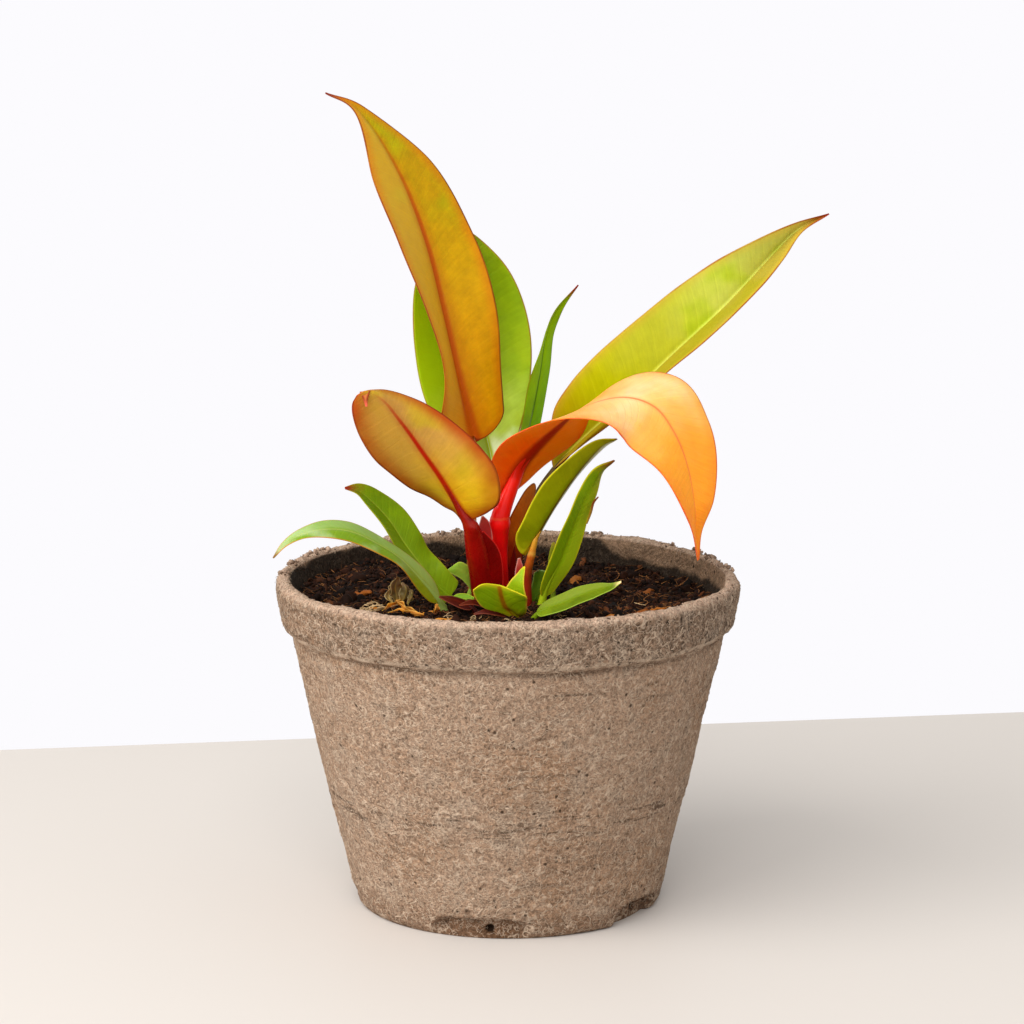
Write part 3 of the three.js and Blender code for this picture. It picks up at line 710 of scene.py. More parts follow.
@dataclass
class Mesh:
    """Points, faces and named attributes of a mesh, in millimetres until it is made."""

    points: list[np.ndarray] = field(default_factory=list)
    faces: list[tuple[int, ...]] = field(default_factory=list)
    marks: dict[str, list[np.ndarray]] = field(default_factory=dict)

    def count(self) -> int:
        """Return the number of points so far."""
        return sum(len(p) for p in self.points)

    def add(self, points: np.ndarray, faces: Iterable[Sequence[int]], **marks: np.ndarray) -> None:
        """Add a shape.

        Args:
            points: its points.
            faces: its faces, by its own point numbers.
            marks: its attributes, a number or a vector for each point.
        """
        start = self.count()
        self.points.append(np.asarray(points, float))
        self.faces.extend(tuple(start + int(i) for i in face) for face in faces)
        for name, values in marks.items():
            self.marks.setdefault(name, []).append(np.asarray(values, float))

    @classmethod
    def of(cls, points: np.ndarray, faces: Iterable[Sequence[int]], **marks: np.ndarray) -> Mesh:
        """Start a mesh with one shape.

        Args:
            points: its points.
            faces: its faces, by its own point numbers.
            marks: its attributes, a number or a vector for each point.

        Returns:
            The mesh.
        """
        mesh = cls()
        mesh.add(points, faces, **marks)
        return mesh

    def make(self, name: str, smooth: bool = True) -> bpy.types.Object:
        """Turn it into an object at the origin.

        Args:
            name: the object's name.
            smooth: whether its faces are shaded smooth.

        Returns:
            The object, in metres.
        """
        mesh = bpy.data.meshes.new(name)
        mesh.from_pydata((np.concatenate(self.points) * MM).tolist(), [], self.faces)
        for mark, values in self.marks.items():
            flat = np.concatenate(values)
            kind = "FLOAT_VECTOR" if flat.ndim > 1 else "FLOAT"
            slot = mesh.attributes.new(mark, kind, "POINT")
            slot.data.foreach_set("vector" if flat.ndim > 1 else "value", flat.astype(np.float32).ravel())
        mesh.polygons.foreach_set("use_smooth", [smooth] * len(mesh.polygons))
        mesh.validate()
        mesh.update()
        made = bpy.data.objects.new(name, mesh)
        bpy.context.scene.collection.objects.link(made)
        return made


def place_piece(
    piece: bpy.types.Object, material: bpy.types.Material, slot: str, nodes: Sequence[str] = ()
) -> bpy.types.Object:
    """Give a piece its material and body, and log its slot.

    Args:
        piece: the object.
        material: its material.
        slot: the name of the record's slot, which is only logged.
        nodes: the solids that it stands for.

    Returns:
        The same object.
    """
    piece.data.materials.clear()
    piece.data.materials.append(material)
    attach(piece, "root")
    if nodes:
        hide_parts(*nodes)
    piece.data.calc_loop_triangles()
    LOG.info("%s: %d triangles, slot %s", piece.name, len(piece.data.loop_triangles), slot)
    return piece


def turned(grid: np.ndarray, first: Point, last: Point) -> tuple[np.ndarray, list[tuple[int, ...]]]:
    """Join rings into a closed shape.

    Args:
        grid: points by ring and side.
        first: the pole before the first ring.
        last: the pole after the last ring.

    Returns:
        Its points, ring by ring and then both poles, and its faces.
    """
    rings, sides = grid.shape[:2]
    faces: list[tuple[int, ...]] = []
    for i in range(rings - 1):
        for k in range(sides):
            a, b = i * sides + k, i * sides + (k + 1) % sides
            faces.append((a, b, b + sides, a + sides))
    end = rings * sides
    for k in range(sides):
        following = (k + 1) % sides
        faces.append((end, following, k))
        faces.append((end + 1, end - sides + k, end - sides + following))
    return np.concatenate([grid.reshape(-1, 3), [first], [last]]), faces


def tube(points: np.ndarray, radii: np.ndarray, sides: int) -> tuple[np.ndarray, list[tuple[int, ...]]]:
    """Sweep a circle along points.

    Args:
        points: the centre line.
        radii: the radius at each point.
        sides: the number of sides.

    Returns:
        The tube's points, ring by ring and then two end points, and its faces.
    """
    reference = np.array((1.0, 0.0, 0.0))
    rings = []
    angles = np.linspace(0.0, FULL_TURN, sides, endpoint=False)
    last = len(points) - 1
    for i, centre in enumerate(points):
        run = unit(points[min(i + 1, last)] - points[max(i - 1, 0)])
        reference = unit(reference - run * reference.dot(run))
        second = np.cross(run, reference)
        circle = np.outer(np.cos(angles), reference) + np.outer(np.sin(angles), second)
        rings.append(centre + radii[i] * circle)
    return turned(np.array(rings), points[0], points[-1])


def smoothed(values: np.ndarray, times: int) -> np.ndarray:
    """Even out a row of values that many times, with both ends held."""
    for _ in range(times):
        values[1:-1] = 0.25 * values[:-2] + 0.5 * values[1:-1] + 0.25 * values[2:]
    return values


MIDRIB_LOOK = 0.08
LEAST_HALF_WIDTH = 0.14
LOBE_END = 0.4
WAVES = 2.2
ROW_CROWDING = 0.45
COLUMN_CROWDING = 0.3
NARROW = 2.2
NARROW_FADE = 1.6
BROAD = 5.0
EDGE_THINNING = 0.55


@dataclass
class Blade:
    """A leaf blade: midrib points, half widths, and the turn of each half about the line of sight.

    Lengths are in millimetres and turns in degrees.
    """

    spine: tuple[Point, ...]
    wide: tuple[float, ...]
    left: tuple[float, ...]
    right: tuple[float, ...]
    base: float = 0.0
    tip: float = 0.0
    lobe: float = 0.0
    lobe_right: float | None = None
    wave: float = 0.0
    shear: float = 0.0
    rows: int = 96
    columns: int = 13
    thickness: float = 0.5
    groove: float = -0.25
    groove_width: float = 0.9
    paint_from: float = 0.0
    paint_off: float = 0.0

    def frames(self, u: np.ndarray) -> tuple[np.ndarray, np.ndarray, np.ndarray, np.ndarray]:
        """Find the midrib's frame.

        Args:
            u: places from 0 at the base to 1 at the tip.

        Returns:
            Places, run directions, directions to the left and directions toward the viewer.
        """
        place = along(self.spine, u)
        ahead = along(self.spine, np.minimum(1.0, u + MIDRIB_LOOK))
        run = unit(ahead - along(self.spine, np.maximum(0.0, u - MIDRIB_LOOK)))
        left = unit(np.cross(run, unit(place - EYE)))
        return place, run, left, np.cross(run, left)

    def half_width(self, u: np.ndarray) -> np.ndarray:
        """Return the half width at each place, rounded at the base and, if asked, at the tip."""
        w = along(self.wide, u)
        for reach, share in ((self.base, u), (self.tip, 1.0 - u)):
            if reach:
                w = w * np.sqrt(np.clip(1.0 - np.clip(1.0 - share / reach, 0.0, 1.0) ** 2, 0.0, 1.0))
        return np.maximum(w, LEAST_HALF_WIDTH)

    def side(self, u: np.ndarray, turn: np.ndarray, sign: float) -> np.ndarray:
        """Turn the sideways direction of one half.

        Args:
            u: places along the midrib.
            turn: the angle at each place.
            sign: 1 for the left half, -1 for the right one.

        Returns:
            The direction at each place.
        """
        _, _, left, toward = self.frames(u)
        a = np.radians(turn)[:, None]
        return left * sign * np.cos(a) + toward * np.sin(a)

    def flat_normal(self, u: np.ndarray) -> np.ndarray:
        """Return the direction between the faces of both halves."""
        _, run, _, _ = self.frames(u)
        halves = self.side(u, along(self.left, u), 1.0) - self.side(u, along(self.right, u), -1.0)
        return unit(np.cross(halves, run))

    def surface(self, u: np.ndarray, v: np.ndarray) -> np.ndarray:
        """Lay out the middle surface.

        Args:
            u: places along the midrib.
            v: places across, from -1 at the left edge to 1 at the right one.

        Returns:
            Points by row and column.
        """
        place, run, _, _ = self.frames(u)
        w = self.half_width(u)
        grid = np.zeros((len(u), len(v), 3))
        right_lobe = self.lobe if self.lobe_right is None else self.lobe_right
        halves = ((1.0, self.left, 0.0, v <= 0, self.lobe), (-1.0, self.right, 0.37, v > 0, right_lobe))
        for sign, turns, phase, chosen, lobe in halves:
            turn = along(turns, u)
            out, lift = self.side(u, turn, sign), self.side(u, turn + 90.0, sign)
            part = v[chosen]
            reach = np.abs(part)
            points = place[:, None] + out[:, None] * (w[:, None] * reach)[..., None]
            back = -lobe * reach**1.5 * np.where(u < LOBE_END, (1.0 - u / LOBE_END) ** 2, 0.0)[:, None]
            back = back - self.shear * part * reach * w[:, None] / max(self.wide)
            ripple = np.sin(FULL_TURN * (WAVES * u + phase)) * np.sin(math.pi * u)
            points = points + run[:, None] * back[..., None]
            points = points + lift[:, None] * (self.wave * reach**2 * ripple[:, None])[..., None]
            grid[:, chosen] = points
        return grid

    @staticmethod
    def _faces(rows: int, wide: int) -> list[tuple[int, ...]]:
        """Join the far face, the near face and the rim between them.

        Args:
            rows: the number of steps from base to tip.
            wide: the number of points across.

        Returns:
            The faces, for the far face's points followed by the near one's.
        """
        back = (rows + 1) * wide
        faces: list[tuple[int, ...]] = []
        for i in range(rows):
            for j in range(wide - 1):
                a = i * wide + j
                b = a + wide
                faces.append((a, b, b + 1, a + 1))
                faces.append((back + a, back + a + 1, back + b + 1, back + b))
        ring = [*range(wide - 1), *(i * wide + wide - 1 for i in range(rows))]
        ring += [rows * wide + j for j in range(wide - 1, 0, -1)] + [i * wide for i in range(rows, 0, -1)]
        for k, a in enumerate(ring):
            b = ring[(k + 1) % len(ring)]
            faces.append((a, b, back + b, back + a))
        return faces

    def into(self, mesh: Mesh) -> None:
        """Add the blade to a mesh, as a thin closed body with a groove or ridge on its near face.

        Args:
            mesh: the mesh to add to.
        """
        even = np.linspace(0.0, 1.0, self.rows + 1)
        u = (1.0 - ROW_CROWDING) * even + ROW_CROWDING * (1.0 - np.cos(math.pi * even)) / 2.0
        v = np.linspace(-1.0, 1.0, 2 * self.columns + 1)
        crowded = COLUMN_CROWDING * np.sin(0.5 * math.pi * np.abs(v))
        v = np.sign(v) * ((1.0 - COLUMN_CROWDING) * np.abs(v) + crowded)
        grid = self.surface(u, v)
        w = self.half_width(u)
        down = np.gradient(grid, axis=0)
        sideways = np.gradient(grid, axis=1)
        normal = unit(np.cross(down, sideways))
        narrow = np.clip((NARROW - w) / NARROW_FADE, 0.0, 1.0)[:, None, None]
        normal = unit(normal * (1.0 - narrow) + self.flat_normal(u)[:, None] * narrow)
        across = v[None, :] * w[:, None]
        rim = (1.0 - np.abs(v))[None, :] * w[:, None]
        slim = np.clip(w / BROAD, 0.5, 1.0)[:, None]
        half = 0.5 * self.thickness * (1.0 - EDGE_THINNING * np.abs(v[None, :]) ** 4) * slim
        dip = np.exp(-((across / self.groove_width) ** 2))
        middle = self.groove * dip * np.clip(w / 4.0, 0.0, 1.0)[:, None]
        far = grid + normal * (half - middle * 0.6)[..., None]
        near = grid - normal * (half + middle)[..., None]
        run = u * float(np.linalg.norm(np.diff(along(self.spine, even), axis=0), axis=1).sum())
        wide = len(v)
        flat_u = np.repeat(self.paint_from + (1.0 - self.paint_from) * u, wide)
        sideways = across.ravel() + self.paint_off
        marks = [np.stack([flat_u, sideways, np.full(across.size, s)], axis=1) for s in (1.0, 0.0)]
        mesh.add(
            np.concatenate([far.reshape(-1, 3), near.reshape(-1, 3)]), self._faces(self.rows, wide),
            blade=np.concatenate(marks), rim=np.tile(rim.ravel(), 2),
            run=np.tile(np.repeat(run, wide), 2),
        )


@dataclass
class Sheet(Blade):
    """A blade laid out by a net of points: rows from base to tip, each from left edge to right edge."""

    net: tuple[tuple[Point, ...], ...] = ()

    def flat_normal(self, u: np.ndarray) -> np.ndarray:
        """Return the direction between the faces of both halves."""
        _, run, _, _ = self.frames(u)
        first, last = (along([row[c] for row in self.net], u) for c in (0, -1))
        return unit(np.cross(first - last, run))

    def surface(self, u: np.ndarray, v: np.ndarray) -> np.ndarray:
        """Lay out the middle surface through the net."""
        columns = np.stack([along([row[c] for row in self.net], u) for c in range(len(self.net[0]))])
        return np.stack([along(columns[:, i], 0.5 * (v + 1.0)) for i in range(len(u))])


def bulging(net: tuple[tuple[Point, ...], ...], depth: float) -> tuple[tuple[Point, ...], ...]:
    """Add a point to a net between each two neighbours of a row, toward the viewer where the leaf is broad.

    Args:
        net: rows of points from base to tip.
        depth: how far the added points stand out at mid length.

    Returns:
        The fuller net.
    """
    full = []
    for i, row in enumerate(net):
        out = np.array((0.0, -1.0, 0.2)) * depth * math.sin(math.pi * i / (len(net) - 1))
        points = [row[0]]
        for before, after in zip(row, row[1:]):
            points += [tuple(0.5 * (np.array(before) + after) + out), after]
        full.append(tuple(points))
    return tuple(full)


def sheet(net: tuple[tuple[Point, ...], ...], **more: float) -> Sheet:
    """Make a blade from its net.

    Args:
        net: rows of points from base to tip.
        more: other values of the blade.

    Returns:
        The blade, with its midrib and half widths taken from the net.
    """
    spine = tuple(row[len(row) // 2] for row in net)
    wide = tuple(max(0.3, 0.5 * math.dist(row[0], row[-1])) for row in net)
    return Sheet(spine, wide, (0.0, 0.0), (0.0, 0.0), net=net, **more)


FREE_RINGS = 44
RIB_RINGS = 54
RIB_START = 0.03
PRESS_RING = 36.0
PRESS_RINGS = 22.0


@dataclass
class Stalk:
    """A petiole: its free path and radii, then a rib along its leaf, pressed flat by degrees."""

    path: tuple[Point, ...]
    radius: tuple[float, ...]
    under: float = 1.0
    reach: float = 0.5
    rib: tuple[float, float] = (1.2, 0.4)
    swell: tuple[tuple[float, float, float], ...] = ()
    sides: int = 20
    stand: float = 0.2
    flatness: float = 0.5

    def line(self, blade: Blade) -> tuple[np.ndarray, np.ndarray]:
        """Find the centre line and radii.

        Args:
            blade: the leaf that it carries.

        Returns:
            Points and radii.
        """
        free = np.linspace(0.0, 1.0, FREE_RINGS)
        u = np.linspace(RIB_START, self.reach, RIB_RINGS)
        thick = self.rib[0] + (self.rib[1] * 0.5 - self.rib[0]) * np.linspace(0.0, 1.0, RIB_RINGS)
        hold = 0.06 + self.stand * thick
        held = along(blade.spine, u) + blade.flat_normal(u) * (self.under * hold)[:, None]
        points = smoothed(np.concatenate([along(self.path, free), held]), 10)
        radii = smoothed(np.concatenate([along(self.radius, free), thick]), 10)
        for height, extra, spread in self.swell:
            radii = radii + extra * np.exp(-(((points[:, 2] - height) / spread) ** 2))
        return points, radii

    def into(self, mesh: Mesh, blade: Blade) -> None:
        """Add the stalk to a mesh.

        Args:
            mesh: the mesh to add to.
            blade: the leaf that it carries.
        """
        points, radii = self.line(blade)
        shape, faces = tube(points, radii, self.sides)
        ring = np.arange(len(points))
        press = np.clip((ring - PRESS_RING) / PRESS_RINGS, 0.0, 1.0) * (1.0 - self.flatness)
        rows = np.repeat(np.clip((ring - float(FREE_RINGS)) / (RIB_RINGS - 1.0), 0.0, 1.0), self.sides)
        normal = blade.flat_normal(RIB_START + (self.reach - RIB_START) * rows)
        off = shape[:-2] - np.repeat(points, self.sides, axis=0)
        share = (off * normal).sum(axis=1, keepdims=True) * np.repeat(press, self.sides)[:, None]
        shape[:-2] -= normal * share
        lengths = np.concatenate([[0.0], np.cumsum(np.linalg.norm(np.diff(points, axis=0), axis=1))])
        share = lengths / lengths[-1]
        share_all = np.concatenate([np.repeat(share, self.sides), [0.0, 1.0]])
        run_all = np.concatenate([np.repeat(lengths, self.sides), [0.0, lengths[-1]]])
        mesh.add(shape, faces, stalk=np.stack([share_all, run_all, np.zeros_like(run_all)], axis=1))


# Leaves


@dataclass
class Leaf:
    """A leaf with its petiole, each standing for one solid."""

    name: str
    blade: Blade
    finish: BladeFinish
    slot: str
    stalk: Stalk
    stalk_finish: StalkFinish
    stalk_slot: str
    hook: Blade | None = None

    def build(self) -> list[bpy.types.Object]:
        """Build and dress the blade and its petiole.

        Returns:
            The pieces made.
        """
        mesh = Mesh()
        self.blade.into(mesh)
        if self.hook is not None:
            self.hook.into(mesh)
        blade = place_piece(mesh.make(f"{self.name}_blade"), self.finish.paint(), self.slot, [self.name])
        node = self.name.replace("leaf", "stem")
        stalk = Mesh()
        self.stalk.into(stalk, self.blade)
        piece = stalk.make(f"{node}_petiole")
        return [blade, place_piece(piece, self.stalk_finish.paint(), self.stalk_slot, [node])]


@dataclass
class YoungLeaf:
    """A small leaf: its blade, the short stalk it grows from, and a dried hook where it has one."""

    name: str
    blade: Blade
    finish: BladeFinish
    stem: tuple[Point, ...]
    thick: tuple[float, float, float]
    reach: float
    hook: Blade | None = None
    slot: str = "leaf_green"
    rings: tuple[int, int] = (14, 22)

    def build(self) -> list[bpy.types.Object]:
        """Build and dress the leaf.

        Returns:
            The pieces made.
        """
        mesh = Mesh()
        self.blade.into(mesh)
        free, held = self.rings
        u = np.linspace(0.02, self.reach, held)
        rib = along(self.blade.spine, u) + self.blade.flat_normal(u) * 0.3
        points = np.concatenate([along(self.stem, np.linspace(0.0, 1.0, free)), rib])
        foot, neck, start = self.thick
        radii = np.concatenate([np.linspace(foot, neck, free), np.linspace(start * 0.8, 0.15, held)])
        shape, faces = tube(smoothed(points, 6), smoothed(radii, 6), 14)
        count = len(shape)
        marks = np.stack([np.zeros(count), np.full(count, 2.0), np.zeros(count)], axis=1)
        mesh.add(shape, faces, blade=marks, rim=np.full(count, 5.0), run=np.linspace(0.0, 4.0, count))
        if self.hook is not None:
            self.hook.into(mesh)
        return [place_piece(mesh.make(f"{self.name}_young"), self.finish.paint(), self.slot, [self.name])]


def big_leaves() -> list[Leaf]:
    """Describe the seven long-stalked leaves.

    Returns:
        The leaves with their petioles.
    """
    golden = Leaf(
        "leaf_golden",
        Blade(
            spine=(
                (-8.6, 3, 121.5), (-12.6, 4, 136), (-16.5, 7, 153), (-21, 11, 171), (-28, 15, 188.5),
                (-38, 18, 203.9), (-46.8, 17, 208.7)),
            wide=(10.5, 13.5, 14.6, 13.8, 10.8, 2.3, 0.3), left=(30, 74, 76, 60, 51, 60, 60),
            right=(-38, -32, -20, -28, -34, -50, -50), base=0.06, lobe_right=1.6, wave=0.5, rows=150,
            columns=16,
        ),
        # Painted sheen: the half colour lightens the left half of the near face.
        BladeFinish(
            "golden_blade",
            near=shades(
                (0.0, 212, 150, 2), (0.2, 200, 146, 2), (0.45, 182, 140, 2), (0.68, 172, 134, 2),
                (0.85, 180, 128, 2), (1.0, 140, 50, 16)),
            far=shades((0.0, 196, 150, 30), (0.6, 176, 150, 36), (1.0, 150, 90, 40)), patch=rgb(158, 152, 2),
            patch_share=0.8, patch_size=15.0, patch_from=0.3, mottle=0.6, rib=rgb(170, 66, 2),
            rib_width=(3.0, 0.2), rib_share=0.85, rib_end=0.95, halo=0.4, half=rgb(204, 160, 44),
            half_share=0.6, half_side=-1.0, edge=rgb(120, 44, 16), edge_width=0.42, blush=rgb(196, 98, 8),
            blush_width=4.0, blush_share=0.55, tip=rgb(120, 40, 26), tip_from=0.9, veins=0.05,
        ),
        "leaf_golden",
        Stalk(
            ((-8, 2.5, 74), (-9.2, 3.2, 90), (-9.2, 4.6, 108), (-8.8, 5.4, 118.4)), (1.7, 1.4, 1.2, 1.1), 1,
            0.16, (0.8, 0.3), stand=0.9),
        StalkFinish("golden_petiole", shades((0.0, 150, 40, 20), (0.4, 214, 130, 30), (1.0, 196, 120, 30))),
        "petiole_brown",
    )
    back = Leaf(
        "leaf_back",
        Blade(
            spine=(
                (-1.8, 17, 101.2), (-4.4, 20, 113.8), (-7.5, 21.6, 128.3), (-9.2, 23.5, 143.6),
                (-11.9, 25, 158.2), (-14.6, 25.5, 168.2), (-17.6, 25.5, 174.7)),
            wide=(3.2, 7.6, 14.6, 16.4, 14.4, 9.2, 0.4), left=(20, 30, 25, 21, 25, 34, 30),
            right=(20, 30, 25, 21, 25, 34, 30), base=0.1, tip=0.08, wave=0.5, rows=130, columns=16,
        ),
        # Painted highlight: the near-white first stops at the base; painted light: the half colour lightens
        # the left half.
        BladeFinish(
            "broad_green_blade",
            near=shades(
                (0.0, 250, 252, 246), (0.13, 228, 238, 206), (0.25, 166, 190, 64), (0.42, 130, 158, 10),
                (0.65, 118, 146, 3), (0.85, 114, 138, 2), (1.0, 116, 134, 5)),
            far=shades((0.0, 150, 180, 60), (1.0, 110, 140, 10)), patch=rgb(150, 172, 8), patch_share=0.5,
            rib=rgb(160, 180, 40), rib_width=(1.6, 0.3), edge=rgb(150, 104, 30), edge_width=0.3,
            tip=rgb(130, 80, 30), tip_from=0.985, veins=0.05, half=rgb(156, 192, 3), half_share=0.7,
            half_side=-1.0,
        ),
        "leaf_green",
        Stalk(((-1, 8, 74), (-1.4, 11.8, 86), (-1.7, 17, 96.2)), (1.6, 1.5, 1.3), 1, 0.3, (0.6, 0.3)),
        StalkFinish(
            "broad_petiole", shades((0.0, 120, 140, 40), (1.0, 206, 222, 176)), flush=rgb(150, 150, 90)),
        "petiole_green",
    )
    ochre = Leaf(
        "leaf_ochre",
        sheet(
            bulging(
                (
                    ((-11.1, -12, 101.3), (-10.5, -13.6, 102.9), (-8.9, -14, 102.8)),
                    ((-13.3, -10, 103.9), (-12.5, -14.6, 106.5), (-4.6, -16, 105.3)),
                    ((-16.1, -9, 105.3), (-14.3, -15.6, 109.9), (-1.8, -18, 108.9)),
                    ((-19.9, -9.5, 107.9), (-17.1, -17.4, 114.9), (-2.7, -20, 116.6)),
                    ((-24.7, -12, 110.6), (-20.8, -19.8, 120.7), (-7.3, -20.5, 123.3)),
                    ((-29.3, -16, 114.9), (-24.3, -22.4, 126.3), (-13.8, -20.5, 129.2)),
                    ((-33.4, -20, 119.4), (-27.4, -25, 130.9), (-20, -21, 133.4)),
                    ((-36.5, -24, 125.2), (-30, -27, 134.6), (-25.7, -22, 136)),
                    ((-38.1, -27, 130.4), (-32.6, -28.6, 136.9), (-30.1, -24, 137.5)),
                    ((-38.4, -28.6, 134.4), (-34.8, -29.6, 137.8), (-33.5, -27, 138)),
                    ((-37.2, -29.6, 137), (-36.3, -29.8, 137.6), (-35.4, -29, 138))),
                0.79,
            ),
            rows=130, columns=16, groove=0.12, groove_width=1.2,
        ),
        # Painted light: the half colour lightens the left half, which faces down.
        BladeFinish(
            "ochre_blade",
            near=shades(
                (0.0, 238, 200, 8), (0.22, 218, 174, 26), (0.5, 190, 142, 62), (0.75, 184, 134, 60),
                (0.92, 172, 120, 46), (0.98, 236, 180, 116)),
            far=shades((0.0, 210, 150, 30), (1.0, 200, 120, 40)), patch=rgb(186, 158, 24), patch_share=0.7,
            patch_size=13.0, mottle=0.4, half=rgb(206, 160, 44), half_share=0.35, half_side=-1.0,
            rib=rgb(170, 30, 4), rib_width=(1.9, 0.1), rib_end=0.9, halo=0.3, edge=rgb(124, 38, 12),
            edge_width=0.5, blush=rgb(166, 72, 12), blush_width=5.4, blush_share=0.9, tip=rgb(224, 96, 76),
            tip_from=0.99, veins=0.09,
        ),
        "leaf_ochre",
        Stalk(
            ((-5.6, -5, 74), (-6, -6, 84), (-7.4, -8.6, 92), (-8.6, -11.4, 98), (-9.2, -13.6, 101.4)),
            (3.3, 3.4, 3.1, 2.4, 1.9), -1, 0.36, (1.15, 0.2), ((101.2, 0.2, 0.7),), 28),
        StalkFinish(
            "red_sheath",
            shades(
                (0.0, 80, 4, 2), (0.25, 124, 5, 3), (0.5, 156, 11, 6), (0.7, 140, 18, 6), (1.0, 150, 30, 8)),
            rings=(101.6,), ring=rgb(150, 40, 20), flush=rgb(80, 2, 2), flush_share=0.5, roughness=0.28,
        ),
        "sheath_red",
        Blade(
            ((-35.1, -29.4, 138), (-35, -29.9, 136.7), (-34.9, -30.2, 135.5), (-34.7, -30.3, 134.3)),
            (1.4, 0.8, 0.45, 0.25), (10,) * 4, (-10,) * 4, rows=40, columns=6, thickness=0.4, groove=0.0,
            paint_from=0.98, paint_off=9.0),
    )
    long_leaf = Leaf(
        "leaf_long",
        Blade(
            spine=(
                (12, 6.8, 112.4), (15.4, 7.4, 115.9), (19.4, 8, 119.8), (24.9, 8.9, 124.7), (31, 10, 130.2),
                (36.9, 11, 135.9), (43, 12, 141.7), (49.4, 13, 147.5), (56, 14, 153.6), (62.7, 15.1, 160.7),
                (69.3, 16, 167.9), (75.6, 16.6, 173.9), (83.3, 17, 177.6)),
            wide=(1.4, 7.0, 12.2, 14.0, 14.4, 14.1, 13.6, 12.8, 11.6, 9.6, 6.4, 2.5, 0.3),
            left=(34, 28, 20, 18, 12, 40, 50), right=(84, 86, 80, 78, 76, 60, 55), base=0.05, wave=0.6,
            rows=150, columns=16,
        ),
        # The bluer near stops from 0.5 to 0.88 add a painted whitish sheen to the lime colour; the half
        # colour darkens the right half as painted shade.
        BladeFinish(
            "lime_blade",
            near=shades(
                (0.0, 120, 70, 6), (0.09, 166, 150, 4), (0.3, 184, 186, 3), (0.5, 186, 188, 44),
                (0.7, 186, 192, 76), (0.88, 184, 184, 76), (1.0, 170, 100, 40)),
            far=shades((0.0, 176, 140, 30), (1.0, 186, 150, 40)), patch=rgb(164, 186, 4), patch_share=0.7,
            patch_size=13.0, mottle=0.3, rib=rgb(206, 206, 90), rib_width=(1.0, 0.3), rib_share=0.4,
            edge=rgb(150, 70, 20), edge_width=0.45, glow=0.04, half=rgb(148, 116, 24), half_share=0.66,
            half_side=1.0, blush=rgb(200, 166, 50), blush_width=3.0, blush_share=0.5, tip=rgb(140, 36, 18),
            tip_from=0.9, veins=0.05,
        ),
        "leaf_lime",
        Stalk(
            ((5.4, 4, 74), (5.4, 4.4, 88), (6.4, 5.2, 100), (8.6, 6.1, 108)), (1.2, 1.1, 1.0, 0.95), 1, 0.3,
            (0.9, 0.4)),
        StalkFinish(
            "long_petiole",
            shades((0.0, 90, 18, 4), (0.4, 56, 30, 3), (0.75, 80, 60, 3), (1.0, 130, 104, 6)),
            flush=rgb(60, 30, 4), roughness=0.6),
        "petiole_brown",
    )
    narrow = Leaf(
        "leaf_narrow",
        Blade(
            spine=(
                (2.4, 10, 112.3), (6, 10, 124.4), (8.4, 10, 136.5), (10, 9.4, 147), (13.1, 9, 154),
                (18.2, 8.4, 160.1)),
            wide=(4.4, 5.8, 6, 4.4, 1.8, 0.3), left=(72, 69, 70, 84, 84, 80),
            right=(-50, -62, -70, -62, -50, -50), base=0.08, wave=0.3, rows=110, columns=12,
        ),
        BladeFinish(
            "narrow_blade",
            near=shades((0.0, 130, 206, 8), (0.5, 140, 196, 2), (0.85, 136, 176, 2), (1.0, 150, 50, 20)),
            far=shades((0.0, 100, 150, 20), (1.0, 100, 120, 20)), patch=rgb(116, 168, 8),
            rib=rgb(84, 130, 6), rib_width=(0.7, 0.2), edge=rgb(120, 120, 20), edge_width=0.25,
            tip=rgb(140, 34, 16), tip_from=0.84, roughness=0.62, gloss=0.03, glow=0.04),
        "leaf_green",
        Stalk(((-0.6, 7.2, 74), (-1.2, 8.2, 92), (-0.2, 9.8, 105)), (1.3, 1.2, 1), 1, 0.3, (0.8, 0.3)),
        StalkFinish(
            "narrow_petiole", shades((0.0, 110, 100, 40), (1.0, 120, 170, 60)), flush=rgb(110, 70, 40)),
        "petiole_green",
    )
